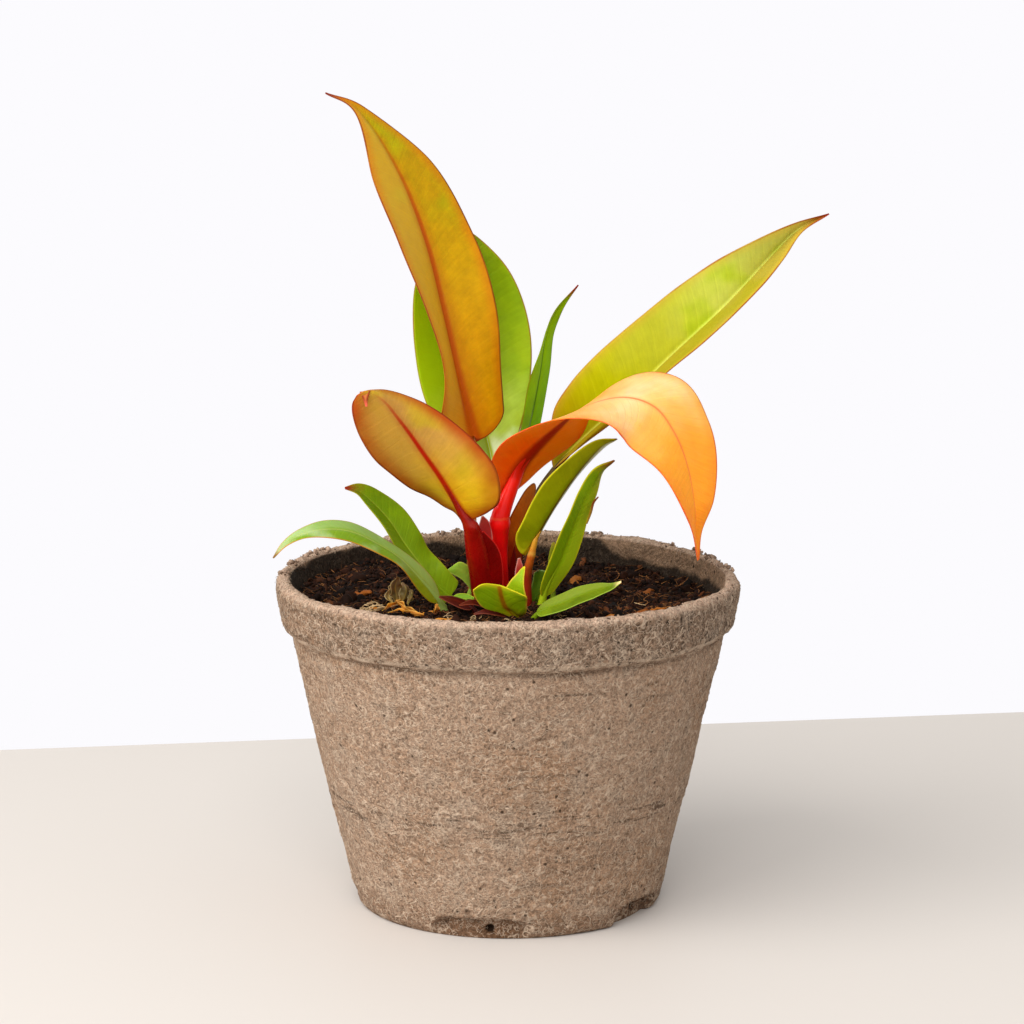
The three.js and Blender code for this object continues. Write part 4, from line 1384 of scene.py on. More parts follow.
    orange = Leaf(
        "leaf_orange",
        Blade(
            spine=(
                (0.8, -6.2, 108.9), (4.2, -8.5, 116.4), (11, -12.3, 124.8), (18.6, -16, 131.5),
                (28.5, -18.5, 134.7), (36.6, -21, 132.8), (41.6, -24, 126.7), (44.8, -26, 118.7),
                (46.6, -27, 109), (47.2, -26, 101.2), (47.9, -24, 94.4)),
            wide=(3.5, 8.2, 12.4, 14, 14.7, 14.0, 12.6, 9.5, 5.9, 1.9, 0.5),
            left=(25, 31, 62, 92, 118, 138, 147, 135, 122, 110, 110),
            right=(-60, -56, -60, -92, -114, -134, -134, -143, -150, -145, -140), base=0.06, lobe=5.2,
            lobe_right=1.5, wave=0.5, rows=170, columns=18, groove=0.12, groove_width=1.0,
        ),
        # Painted highlight: the pale far stop at 0.44; painted light: the half colour lightens the right
        # half of the near face.
        BladeFinish(
            "orange_blade",
            near=shades((0.0, 252, 76, 2), (0.1, 255, 110, 2), (0.34, 255, 140, 4), (1.0, 236, 120, 16)),
            far=shades(
                (0.0, 240, 140, 50), (0.3, 244, 150, 64), (0.44, 250, 194, 138), (0.56, 252, 180, 92),
                (0.72, 252, 158, 46), (0.9, 242, 138, 18), (1.0, 204, 90, 20)),
            patch=rgb(252, 150, 40), patch_share=0.4, patch_size=16.0, mottle=0.16, half=rgb(255, 156, 6),
            half_share=0.8, half_side=1.0, rib=rgb(160, 10, 2), rib_far=rgb(230, 116, 60),
            rib_width=(3.6, 0.12), rib_share=0.92, rib_end=1.1, halo=0.22, edge=rgb(222, 80, 40),
            edge_width=0.36, blush=rgb(246, 136, 40), blush_width=4.0, blush_share=0.5, tip=rgb(206, 96, 30),
            tip_from=0.955, veins=0.05, vein_gap=2.6, glow=0.85,
        ),
        "leaf_orange",
        Stalk(
            (
                (-1.2, -1.5, 74), (-1.5, -2, 84), (-1.8, -4, 92), (-1.9, -6.4, 98), (-1.9, -7.8, 101.5),
                (-1.4, -8.6, 104.4)),
            (1.9, 1.9, 1.8, 2.3, 2.6, 2.3), -1, 0.22, (1.9, 0.3), ((102.4, -0.12, 0.6), (100.6, 0.15, 1.2)),
            28, -0.1, 0.3,
        ),
        StalkFinish(
            "bright_petiole",
            shades(
                (0.0, 130, 6, 4), (0.2, 200, 8, 8), (0.32, 255, 12, 16), (0.5, 255, 16, 14),
                (0.62, 255, 28, 8), (0.76, 214, 26, 3), (1.0, 196, 30, 3)),
            rings=(102.2,), ring=rgb(250, 110, 60), ring_width=0.6, ring_share=0.4, flush=rgb(214, 8, 6),
            flush_share=0.1, roughness=0.34,
        ),
        "petiole_red",
    )
    olive = Leaf(
        "leaf_olive",
        Blade(
            spine=(
                (6.5, -9.2, 95.8), (8.9, -10, 99.9), (12.0, -11, 105.4), (15.6, -12, 111.2),
                (19.9, -13, 117.1), (24.0, -15, 121.9), (27.6, -17, 124.0)),
            wide=(5, 6.8, 7.4, 7.4, 6.4, 3.6, 0.3), left=(30, 42, 42, 42, 50, 50, 50),
            right=(-84, -88, -89, -88, -84, -82, -80), base=0.14, lobe=4, wave=0.2, rows=110, columns=14,
        ),
        # Painted sheen: the pale half colour on the right half, which is seen at a grazing angle.
        BladeFinish(
            "olive_blade",
            near=shades((0.0, 166, 172, 10), (0.4, 150, 156, 6), (0.8, 156, 160, 12), (1.0, 120, 80, 20)),
            far=shades((0.0, 150, 140, 60), (0.6, 170, 160, 110), (1.0, 140, 110, 60)),
            patch=rgb(132, 148, 4), rib=rgb(110, 50, 12), rib_width=(0.8, 0.3), rib_share=0.8,
            edge=rgb(214, 206, 30), edge_width=0.45, tip=rgb(120, 60, 20), tip_from=0.96, veins=0.04,
            half=rgb(226, 232, 190), half_share=0.8, half_side=1.0, roughness=0.36),
        "leaf_olive",
        Stalk(
            ((5.4, -5.2, 74), (5.1, -6.4, 86), (5.9, -8.4, 91.6)), (1.3, 1.1, 1.05), -1, 0.14, (0.8, 0.5),
            ((92.6, 0.22, 0.8),)),
        StalkFinish(
            "olive_petiole",
            shades(
                (0.0, 100, 16, 10), (0.45, 140, 36, 14), (0.7, 190, 90, 26), (0.86, 226, 160, 50),
                (1.0, 196, 140, 30)),
            rings=(93.0,), ring=rgb(240, 206, 90),
        ),
        "petiole_brown",
    )
    return [golden, back, ochre, long_leaf, narrow, orange, olive]


def green(
    name: str, light: Colour, mid: Colour, dark: Colour, tip: Colour, tip_from: float = 0.93,
    edge: Colour = rgb(176, 180, 50), **more: object
) -> BladeFinish:
    """Mix the finish of a young green leaf.

    Args:
        name: the finish's name.
        light: the colour near the base.
        mid: the colour halfway.
        dark: the colour of its patches.
        tip: the colour of its tip.
        tip_from: where the tip's colour starts.
        edge: the colour of its edge.
        more: other values of the finish.

    Returns:
        The finish.
    """
    usual = {"rib": light, "rib_width": (0.7, 0.25), "rib_share": 0.6, "edge_width": 0.3, "vein_gap": 2.0}
    return BladeFinish(
        name, near=((0.0, light), (0.4, mid), (0.8, mid), (1.0, tip)), far=((0.0, mid), (1.0, dark)),
        patch=dark, patch_share=0.6, patch_size=8.0, edge=edge, edge_share=0.8, tip=tip, tip_from=tip_from,
        **{**usual, **more},
    )


def young_leaves() -> list[YoungLeaf]:
    """Describe the small leaves round the foot of the plant.

    Returns:
        The leaves.
    """
    small = {"rows": 72, "columns": 11, "thickness": 0.45, "groove": -0.18, "groove_width": 0.6}
    return [
        YoungLeaf(
            "leaf_curled",
            Blade(
                ((1.4, 0.4, 87), (1.8, -0.8, 93), (3.1, -1.8, 99), (4.9, -3, 105), (6.8, -4, 110.5)),
                (3.2, 4.2, 4.1, 3.2, 1.7), (50, 44, 40, 46, 50), (-40, -60, -60, -60, -60), base=0.1,
                tip=0.12, **small),
            BladeFinish(
                "rolled_leaf",
                near=shades((0.0, 110, 6, 3), (0.25, 160, 40, 6), (0.5, 200, 100, 20), (1.0, 206, 120, 44)),
                far=shades((0.0, 130, 30, 8), (1.0, 180, 96, 30)), patch=rgb(146, 60, 10),
                rib=rgb(210, 130, 50), rib_width=(0.6, 0.3), rib_share=0.25, halo=0.1, veins=0.0, mottle=0.5,
                edge=rgb(96, 24, 8), tip=rgb(120, 50, 20), tip_from=0.97, roughness=0.34),
            ((2.6, 2, 74), (2.6, 1.6, 82)), (2.3, 2.2, 1.9), 0.3, slot="leaf_brown",
        ),
        YoungLeaf(
            "leaf_arc",
            Blade(
                (
                    (-17.2, -17, 82.4), (-21, -19.5, 87.6), (-26.7, -22.6, 94.3), (-32.6, -25.2, 98.8),
                    (-38.7, -28, 102.3), (-44.8, -31, 103.6), (-50.8, -34, 103), (-55, -36.6, 100.8),
                    (-57.7, -38, 97.7)),
                (2.6, 3.8, 4.8, 5.3, 5, 4.4, 2.8, 1.4, 0.3), (45, 51, 70, 68, 60, 58, 60, 60, 60),
                (-50, -51, -68, -68, -64, -62, -64, -60, -60), base=0.08, **{**small, "rows": 110},
            ),
            # Painted sheen: the pale patch colour (176, 196, 140) and the pale half colour.
            green(
                "arching_leaf", rgb(132, 140, 4), rgb(114, 148, 26), rgb(176, 196, 140), rgb(116, 80, 24),
                0.94, rgb(196, 120, 30), half=rgb(156, 186, 112), half_share=0.45, half_side=1.0,
                rib_share=0.4, rib=rgb(186, 194, 110), rib_width=(0.5, 0.2), veins=0.14, patch_from=0.2),
            ((-14.6, -15, 75), (-15.4, -15.6, 79.5)), (1.3, 1.2, 1.0), 0.35,
        ),
        YoungLeaf(
            "leaf_left_up",
            Blade(
                (
                    (-15, -9.6, 81.6), (-18.9, -10.4, 86.4), (-22.8, -11, 91.5), (-26.3, -11, 96.2),
                    (-30, -11, 102), (-34.4, -11.5, 107), (-37.8, -12.5, 110), (-41.1, -14, 110.9)),
                (4.8, 4.6, 4.8, 5.2, 5.2, 4.2, 2.2, 0.4), (66, 66, 52, 62, 66, 66, 60, 60),
                (-14, -6, -32, -18, -25, -38, -30, -30), base=0.04, **{**small, "rows": 100},
            ),
            green(
                "left_leaf", rgb(124, 150, 14), rgb(108, 136, 4), rgb(90, 118, 3), rgb(130, 40, 20), 0.93,
                rgb(150, 150, 24), rib=rgb(160, 180, 56), rib_width=(0.4, 0.2), rib_share=0.5),
            ((-12.4, -8, 75), (-13, -8.4, 80)), (1.5, 1.4, 1.1), 0.35,
        ),
        YoungLeaf(
            "leaf_right_up",
            Blade(
                (
                    (9.2, -9.6, 82), (10.9, -10, 86), (13.7, -11, 91.6), (16, -12, 98), (18.2, -13, 104),
                    (20.6, -14, 109.8), (23.4, -16, 115.3), (27, -18, 118.7)),
                (2, 3.0, 3.6, 3.8, 3.4, 3, 2, 0.3), (56, 52, 42, 44, 46, 36, 20, 30),
                (-40, -34, -28, -34, -46, -48, -75, -70), base=0.08, **{**small, "rows": 110},
            ),
            green(
                "right_leaf", rgb(140, 166, 10), rgb(118, 150, 6), rgb(100, 132, 4), rgb(120, 60, 20), 0.94,
                rgb(206, 196, 30), edge_width=0.45, half=rgb(160, 178, 24), half_share=0.6, half_side=1.0),
            ((8.6, -8.6, 75), (8.8, -9, 80)), (1.3, 1.2, 1.0), 0.35,
            Blade(
                ((20.2, -13, 101.6), (21.2, -13, 104.4), (21.9, -13, 107), (23.1, -13.4, 108.6)),
                (0.2, 0.34, 0.32, 0.18), (20,) * 4, (-40,) * 4, rows=36, columns=5, thickness=0.4,
                groove=0.0, paint_from=0.98, paint_off=9.0),
        ),
        YoungLeaf(
            "leaf_right_low",
            Blade(
                (
                    (7.4, -28.6, 82), (10.2, -30, 83.4), (14, -31, 84.9), (18.1, -32.4, 87),
                    (22.3, -33.6, 88.7), (25.7, -35, 89.8), (28.2, -36, 91.3)),
                (1.8, 2.9, 3.6, 3.6, 3, 1.6, 0.4), (-45, -48, -50, -52, -58, -60, -60),
                (50, 55, 60, 60, 56, 58, 60), base=0.1, **small,
            ),
            green(
                "low_leaf", rgb(108, 130, 14), rgb(96, 116, 14), rgb(74, 98, 8), rgb(246, 214, 150), 0.95,
                rgb(150, 176, 60), half=rgb(140, 158, 60), half_share=0.4, half_side=-1.0),
            ((5.8, -26.6, 75), (6.2, -27.2, 79.8)), (1.0, 0.9, 0.8), 0.3,
        ),
        YoungLeaf(
            "leaf_front",
            sheet(
                (
                    (
                        (1.6, -25.9, 79.9), (2, -25.6, 80), (2.4, -25.4, 80.2), (3.2, -25.6, 80.3),
                        (4, -25.8, 80.5)),
                    (
                        (-2.1, -27.6, 81.7), (-0.4, -27, 81.4), (1.1, -26.6, 81.7), (2.9, -27, 81.4),
                        (4.8, -27.3, 81.7)),
                    (
                        (-5.9, -29.4, 83.3), (-3.4, -28.6, 83.3), (-0.4, -28, 83.2), (2.1, -28.5, 83.6),
                        (4.9, -29.1, 83.5)),
                    (
                        (-7.8, -30.8, 85.8), (-4.9, -29.9, 85.8), (-1.2, -29.2, 85.4), (1.7, -29.8, 85.3),
                        (5, -30.4, 85.2)),
                    (
                        (-8.5, -31.8, 87.8), (-5.5, -30.9, 88.5), (-1.7, -30.2, 87.6), (1.4, -30.8, 87.1),
                        (5, -31.4, 86.1)),
                    (
                        (-8.4, -32.2, 88.5), (-5.9, -31.3, 89.8), (-1.9, -30.6, 89.3), (1.2, -31.2, 88.2),
                        (4.8, -31.8, 86.7)),
                ),
                **small,
            ),
            green(
                "folded_leaf", rgb(150, 140, 6), rgb(138, 164, 8), rgb(116, 148, 10), rgb(206, 196, 30),
                0.95, rgb(220, 180, 50), rib=rgb(150, 70, 6), rib_width=(1.1, 0.8), rib_share=0.8,
                rib_end=1.3, edge_width=0.4),
            ((3.4, -23, 75), (3.2, -24, 80)), (1.1, 1.0, 0.9), 0.4,
            sheet(
                (
                    ((-0.5, -29.9, 88.3), (1.9, -30, 87.4), (4.9, -30.2, 85.9)),
                    ((0.9, -30, 90.5), (2.6, -30.2, 89.6), (4.3, -30.7, 88.4)),
                    ((2.4, -29.4, 92), (3.3, -29.8, 91.4), (4.2, -30.5, 90.7)),
                    ((3.5, -28.8, 93.2), (4, -29.2, 93), (4.4, -30, 92.8)),
                    ((4.3, -28.2, 93.7), (4.4, -28.6, 93.7), (4.5, -29.4, 93.7))),
                rows=40, columns=7, thickness=0.4, groove=0.0, paint_from=0.4, paint_off=9.0,
            ),
        ),
        YoungLeaf(
            "leaf_light_left",
            sheet(
                (
                    ((-9, -3.2, 81.6), (-8.9, -3, 82.3), (-8.7, -2.7, 83)),
                    ((-10.3, -3.9, 83.7), (-9.6, -3.4, 84.9), (-8.9, -2.8, 86.2)),
                    ((-12, -4.5, 85.6), (-10.9, -3.8, 87.1), (-9.8, -2.9, 88.4)),
                    ((-13.7, -5.2, 86.7), (-12.9, -4.4, 88.3), (-12.2, -3.4, 89.8)),
                    ((-15.1, -5.8, 87.5), (-14.8, -5, 88.1), (-14.4, -4, 88.6)),
                    ((-15.8, -6.2, 87.9), (-15.8, -5.4, 87.8), (-15.7, -4.4, 87.7))),
                **small,
            ),
            green(
                "light_leaf", rgb(140, 170, 56), rgb(132, 164, 50), rgb(104, 144, 24), rgb(150, 180, 60),
                0.98, rgb(180, 200, 80)),
            ((-10, -2.4, 75), (-10.2, -2.6, 80)), (1.0, 0.9, 0.8), 0.3,
        ),
        YoungLeaf(
            "leaf_light_low",
            sheet(
                (
                    ((-8.7, -13.8, 82.1), (-8.5, -13.6, 82.3), (-8.4, -13.3, 82.6)),
                    ((-10.2, -14.3, 82.3), (-10, -13.8, 82.8), (-9.8, -13.2, 83.3)),
                    ((-11.6, -14.9, 82.2), (-11.5, -14.2, 82.9), (-11.4, -13.3, 83.6)),
                    ((-12.4, -15.4, 81.8), (-12.6, -14.6, 82.7), (-12.8, -13.6, 83.5)),
                    ((-13.1, -15.8, 81.8), (-13.4, -15, 82.4), (-13.7, -14, 83)),
                    ((-13.8, -16, 82.4), (-13.9, -15.2, 82.4), (-13.9, -14.2, 82.4))),
                **small,
            ),
            green(
                "low_light_leaf", rgb(120, 160, 44), rgb(112, 150, 40), rgb(92, 130, 24), rgb(130, 160, 50),
                0.98),
            ((-8.6, -13, 75), (-8.8, -13, 80)), (0.9, 0.8, 0.7), 0.3,
        ),
        YoungLeaf(
            "leaf_dark_back",
            sheet(
                (
                    ((5.5, -2.6, 79.7), (7.2, -2.3, 79.5), (8.8, -2.5, 79.7)),
                    ((5.9, -3.1, 82.1), (7.6, -2.4, 81.8), (9.2, -2.8, 82.1)),
                    ((6.5, -3.5, 84.8), (8, -2.4, 84.6), (9.6, -3.2, 84.8)),
                    ((6.9, -3.8, 86.9), (8.3, -2.6, 87), (9.9, -3.4, 87)),
                    ((8, -3.8, 87.7), (8.7, -2.6, 87.5), (9.7, -3.4, 87.5))),
                **small,
            ),
            green(
                "dark_leaf", rgb(80, 112, 16), rgb(92, 128, 30), rgb(70, 104, 14), rgb(150, 180, 110), 0.7,
                rgb(150, 176, 90)),
            ((6.8, -1, 75), (6.8, -1.6, 80)), (1.0, 0.9, 0.8), 0.3,
        ),
        YoungLeaf(
            "leaf_yellow_back",
            Blade(
                ((12, -2.4, 82.4), (12.2, -2.8, 87), (12, -3.4, 91.4), (11.8, -4, 95)), (1.2, 1.9, 1.6, 0.4),
                (30,) * 4, (-30,) * 4, base=0.1, **small),
            green(
                "yellow_leaf", rgb(120, 140, 30), rgb(150, 156, 36), rgb(120, 140, 30), rgb(190, 176, 60),
                0.9),
            ((11.6, -1.8, 75), (11.8, -2, 80)), (0.9, 0.8, 0.7), 0.3,
        ),
        YoungLeaf(
            "scale_leaf_red",
            Blade(
                ((-8.6, -21.4, 81.8), (-11, -21, 82.6), (-14, -20.4, 83.6), (-17.2, -20, 84.2)),
                (1.4, 1.9, 1.6, 0.4), (40,) * 4, (-60,) * 4, base=0.1, **small),
            red_scale("red_scale"), ((-6.6, -21.6, 75), (-7.2, -21.6, 80)), (1.0, 0.9, 0.7), 0.3,
            slot="scale_red",
        ),
    ]


def red_scale(name: str) -> BladeFinish:
    """Return the finish of a dry red-brown scale leaf."""
    return BladeFinish(
        name, near=shades((0.0, 48, 5, 3), (0.6, 64, 13, 6), (1.0, 80, 28, 14)),
        far=shades((0.0, 56, 5, 2), (1.0, 80, 20, 8)), patch=rgb(40, 4, 2), rib=rgb(96, 28, 10),
        rib_width=(0.5, 0.3), rib_share=0.3, edge=rgb(120, 54, 34), edge_width=0.25, tip=rgb(110, 50, 24),
        tip_from=0.95, roughness=0.4, veins=0.02)


@dataclass
class Bracts:
    """The thin sheath edges and bracts between the petioles, and dry scales on the soil."""

    def build(self) -> list[bpy.types.Object]:
        """Build and dress the bracts.

        Returns:
            The pieces made.
        """
        thin = {"rows": 60, "columns": 10, "thickness": 0.4, "groove": 0.0}
        sheath = BladeFinish(
            "sheath_edge", near=shades((0.0, 96, 2, 2), (0.5, 120, 4, 3), (1.0, 140, 10, 8)),
            far=shades((0.0, 120, 10, 10), (1.0, 190, 40, 40)), patch=rgb(84, 2, 2), rib=rgb(110, 4, 3),
            rib_share=0.0, halo=0.0, edge=rgb(216, 40, 34), edge_width=0.3, tip=rgb(190, 30, 26),
            tip_from=0.97, roughness=0.28, veins=0.0)
        pink = BladeFinish(
            "pink_bract", near=shades((0.0, 150, 12, 10), (0.5, 176, 40, 34), (1.0, 210, 100, 86)),
            far=shades((0.0, 180, 40, 40), (1.0, 220, 110, 106)), patch=rgb(180, 50, 52),
            rib=rgb(170, 30, 34), rib_share=0.0, halo=0.0, edge=rgb(232, 170, 160), edge_width=0.3,
            tip=rgb(236, 180, 166), tip_from=0.95, roughness=0.34, veins=0.0)
        pieces = [
            (
                "sheath_flap", sheath, "sheath_red",
                Blade(
                    ((-3.6, -9, 80.8), (-3.8, -9.6, 87), (-4.6, -10.4, 93.5), (-6.8, -12, 99.2)),
                    (2.2, 2.9, 2.7, 0.9), (-16,) * 4, (-12,) * 4, **thin),
            ),
            (
                "inner_bract", pink, "scale_red",
                Blade(
                    ((-5.4, -8.6, 93), (-5.6, -9, 97), (-5.9, -9.4, 100.6), (-6.4, -9.8, 103)),
                    (1.6, 2.1, 1.7, 0.3), (30,) * 4, (-30,) * 4, **thin),
            ),
            (
                "pink_bract", pink, "scale_red",
                Blade(
                    ((3.6, -6.8, 83), (3.2, -7.2, 87.4), (3, -7.4, 91.6)), (1.5, 1.5, 0.4), (30,) * 3,
                    (-30,) * 3, **thin),
            ),
            (
                "dry_scale_front", red_scale("front_scale"), "scale_red",
                Blade(
                    ((0.6, -25.4, 80.6), (-2.4, -27.6, 82.0), (-5.6, -28.6, 82.4), (-8.4, -28.8, 81.6)),
                    (0.8, 1.3, 1.0, 0.3), (30,) * 4, (-70,) * 4, **thin),
            ),
            (
                "dry_scale_low", red_scale("low_scale"), "scale_red",
                Blade(
                    ((-2.8, -24, 80.8), (-5.4, -24.8, 83), (-8.8, -26, 84), (-12, -27, 83.4)),
                    (0.9, 1.3, 1.0, 0.3), (50,) * 4, (-50,) * 4, **thin),
            ),
        ]
        made = []
        for name, finish, slot, blade in pieces:
            mesh = Mesh()
            blade.into(mesh)
            made.append(place_piece(mesh.make(name), finish.paint(), slot))
        return made


# Pot, soil and what is strewn on them


FIELD_GAP = 13.7
CELL_PRIMES = np.array((73856093, 19349663, 83492791))
FIRST_MIX = 2654435761
SECOND_MIX = 2246822519
LOW_BITS = 2**32 - 1


def rough(points: np.ndarray, size: float, seed: int) -> np.ndarray:
    """Read a smooth random field.

    Args:
        points: places in millimetres.
        size: the size of its lumps in millimetres.
        seed: chooses the field.

    Returns:
        A number from -1 to 1 for each place.
    """
    grid = points / size + FIELD_GAP * seed
    cell = np.floor(grid).astype(np.int64)
    share = grid - cell
    share = share * share * (3.0 - 2.0 * share)
    total = np.zeros(points.shape[:-1])
    for corner in product((0, 1), repeat=3):
        key = (cell + corner) * CELL_PRIMES
        mixed = (key[..., 0] ^ key[..., 1] ^ key[..., 2]) * FIRST_MIX & LOW_BITS
        mixed = (mixed ^ (mixed >> 15)) * SECOND_MIX & LOW_BITS
        value = (mixed ^ (mixed >> 13)) / 2.0**31 - 1.0
        total += value * np.prod(np.where(corner, share, 1.0 - share), axis=-1)
    return total


def layers(points: np.ndarray, seed: int, *lumps: tuple[Union[float, np.ndarray], float]) -> np.ndarray:
    """Add up random fields, each given by its height and size, with seeds counted on from the first."""
    return sum(height * rough(points, size, seed + i) for i, (height, size) in enumerate(lumps))


LIP_POINTS = [10, 12, 14, 15]


@dataclass(frozen=True)
class Notch:
    """A notch at the pot's foot: its turn off an even place, half angle, depth and share of stain."""

    turn: float
    half: float
    depth: float
    stain: float


@dataclass
class FibrePot:
    """The moulded fibre pot, with its collar, rough lip, and drained notches round the foot.

    Lengths are in millimetres. Turns are in degrees, and each tuft is a direction with its spread.
    """

    notches: int = 5
    notch_from: float = -16.0
    notch_height: float = 5.5
    front: Notch = Notch(6.0, 18.0, 1.0, 0.8)
    others: Notch = Notch(0.0, 13.0, 2.6, 0.5)
    drain_height: float = 2.6
    drain_turn: float = 3.5
    drain_radius: float = 1.25
    drain_depth: float = 2.0
    stain_turn: float = 20.0
    stain_height: float = 6.8
    sides: int = 430
    step: float = 0.52
    tufts: tuple[tuple[float, float], ...] = (
        (108.5, 0.9), (104.0, 0.7), (68.0, 2.2), (64.5, 1.2), (40.0, 1.2), (28.0, 1.6), (22.0, 1.8),
        (11.0, 2.0), (155.0, 2.0), (148.0, 1.2), (166.0, 1.6), (178.0, 2.4))

    def outer(self, z: float) -> float:
        """Return the outer radius at a height."""
        return POT_BASE + POT_SLOPE * z

    def profile(self) -> tuple[np.ndarray, np.ndarray]:
        """Lay out the wall's outline, from under the base up over the lip and down inside.

        Returns:
            Radius and height of each ring, and its zone: 0 outside, 1 on the lip, 2 inside. The lip's own
            points in the outline say where the zone changes.
        """
        known = np.array([
            (POT_BASE - 1.4, 0.0), (POT_BASE - 0.4, 0.4), (self.outer(1.6), 1.6),
            (self.outer(34), 34.0), (self.outer(68.2), 68.2), (55.7, 71.2), (56.1, 72.3), (57.6, 73.1),
            (58.6, 74.8), (59.2, 79.0), (59.8, 83.4), (59.6, 84.8), (58.8, 85.7), (57.8, 86.0), (56.9, 85.8),
            (56.2, 84.9), (55.7, 83.0), (54.7, 80.0), (53.2, 76.6),
        ])
        length = np.concatenate([[0.0], np.cumsum(np.linalg.norm(np.diff(known, axis=0), axis=1))])
        spots = np.linspace(0.0, length[-1], int(length[-1] / self.step))
        ring = np.stack([np.interp(spots, length, known[:, c]) for c in (0, 1)], axis=1)
        ring = smoothed(ring, 2)
        zone = np.interp(spots, length[LIP_POINTS], [0.0, 1.0, 1.0, 2.0])
        foot = self.outer(4) - POT_WALL
        deep = [(self.outer(44) - POT_WALL, 44.0), (foot, 4.4), (foot - 1.6, 3.0), (12.0, 3.0)]
        under = [(14.0, 0.0), (30.0, 0.0)]
        zones = np.concatenate([[0.0] * len(under), zone, [2.0] * len(deep)])
        return np.concatenate([under, ring, deep]), zones

    def _notched(
        self, angle: np.ndarray, radius: np.ndarray, height: np.ndarray
    ) -> tuple[np.ndarray, np.ndarray]:
        """Press the notches and their drain holes into the foot of the wall.

        Args:
            angle: the direction of each side.
            radius: the radius by ring and side.
            height: the height by ring and side.

        Returns:
            The new radius, and a mark of how damp the wall is there, highest in the drain holes, which the
            finish paints dark as shade.
        """
        wet = np.zeros_like(radius)
        for k in range(self.notches):
            notch = self.others if k else self.front
            middle = math.radians(self.notch_from + notch.turn - 90.0 + 360.0 / self.notches * k)
            off = np.degrees((angle - middle + math.pi) % FULL_TURN - math.pi)[None, :]
            wall = POT_BASE - notch.depth
            arch = (np.abs(off) / notch.half) ** 4 + (height / self.notch_height) ** 4
            mask = np.clip((1.06 - arch) / 0.22, 0.0, 1.0) * (radius > wall)
            radius = radius + (wall - radius) * mask
            hole = np.hypot(np.radians(off - self.drain_turn) * POT_BASE, height - self.drain_height)
            bored = np.clip((self.drain_radius - hole) / 0.5, 0.0, 1.0) * (radius > wall - 3.0)
            radius = radius - self.drain_depth * bored
            stain = np.exp(-((off / self.stain_turn) ** 4) - (height / self.stain_height) ** 4) * notch.stain
            wet = np.maximum(wet, stain)
            # The drain holes get a high mark, which the finish paints dark as shade.
            wet = np.maximum(wet, np.clip((1.6 - hole) / 0.6, 0.0, 1.0) * 1.8)
        return radius, wet

    @staticmethod
    def _lumps(grid: np.ndarray, outside: np.ndarray, back: np.ndarray) -> np.ndarray:
        """Find how far the pressed fibre stands out, with the crease under the collar and the pits.

        Args:
            grid: the smooth wall's points by ring and side.
            outside: 1 on the rings of the outer wall, 0 on others.
            back: how far each side faces the back of the pot.

        Returns:
            A distance for each point.
        """
        height = grid[..., 2]
        rim = np.exp(-(((height - 84.0) / 4.0) ** 2))
        coarse, medium, fine = 0.30 + 0.16 * rim, 0.17 + 0.26 * rim, 0.10 + 0.14 * rim
        lumps = layers(grid, 1, (coarse, 11.0), (medium, 3.4), (fine, 1.5))
        crease = np.exp(-(((height - 72.0 - 0.5 * rough(grid, 14.0, 5)) / 0.6) ** 2)) * outside
        lumps = lumps - crease * 0.6 * np.clip(0.8 + rough(grid, 9.0, 4), 0.0, 1.3)
        pits = np.clip(rough(grid, 1.9, 6) - 0.62, 0.0, 1.0) * outside
        lumps = (lumps - 2.2 * pits) * (height > 0.3)
        return lumps + 0.9 * rim * back

    def build(self) -> list[bpy.types.Object]:
        """Build and dress the pot with its loose threads and crumbs.

        Returns:
            The pieces made.
        """
        ring, zone = self.profile()
        angle = np.linspace(0.0, FULL_TURN, self.sides, endpoint=False)
        ray = np.stack([np.cos(angle), np.sin(angle), np.zeros_like(angle)], axis=1)
        height = np.repeat(ring[:, 1:], self.sides, axis=1)
        radius, wet = self._notched(angle, np.repeat(ring[:, :1], self.sides, axis=1), height)
        grid = ray[None] * radius[..., None]
        grid[..., 2] = height
        run = unit(np.gradient(ring, axis=0))
        face = ray[None] * run[:, 1][:, None, None]
        face = face + np.array((0.0, 0.0, 1.0)) * -run[:, 0][:, None, None]
        lumps = self._lumps(grid, (zone < 0.5)[:, None], np.clip(np.sin(angle), 0.0, 1.0)[None])
        grid = grid + face * lumps[..., None]
        grid[..., 2] = np.maximum(grid[..., 2], 0.0)
        points, faces = turned(grid, (0.0, 0.0, 0.0), (0.0, 0.0, 3.0))
        zones = np.repeat(zone[:, None], self.sides, axis=1).ravel()
        cover = ((zones < 1.6) & (grid[..., 2].ravel() > 2.6)).astype(float)
        lip = np.exp(-(((zones - 1.0) / 0.5) ** 2))
        lip = lip * (lip > 0.05)
        turn = np.degrees(np.tile(angle, len(ring)))
        near = np.stack([np.exp(-(((turn - at) / spread) ** 2)) for at, spread in self.tufts])
        marks = {"wet": wet.ravel(), "cover": cover, "lip": lip, "tuft": lip * near.max(axis=0)}
        marks = {name: np.append(values, [0.0, 0.0]) for name, values in marks.items()}
        mesh = Mesh.of(points, faces, zone=np.append(zones, [0.0, 2.0]), **marks)
        pot = place_piece(mesh.make("fibre_pot"), FibreFinish().paint(), "pot_fibre", ["pot"])
        return [pot, *(job.over(pot, "pot_fibre") for job in self.loose())]

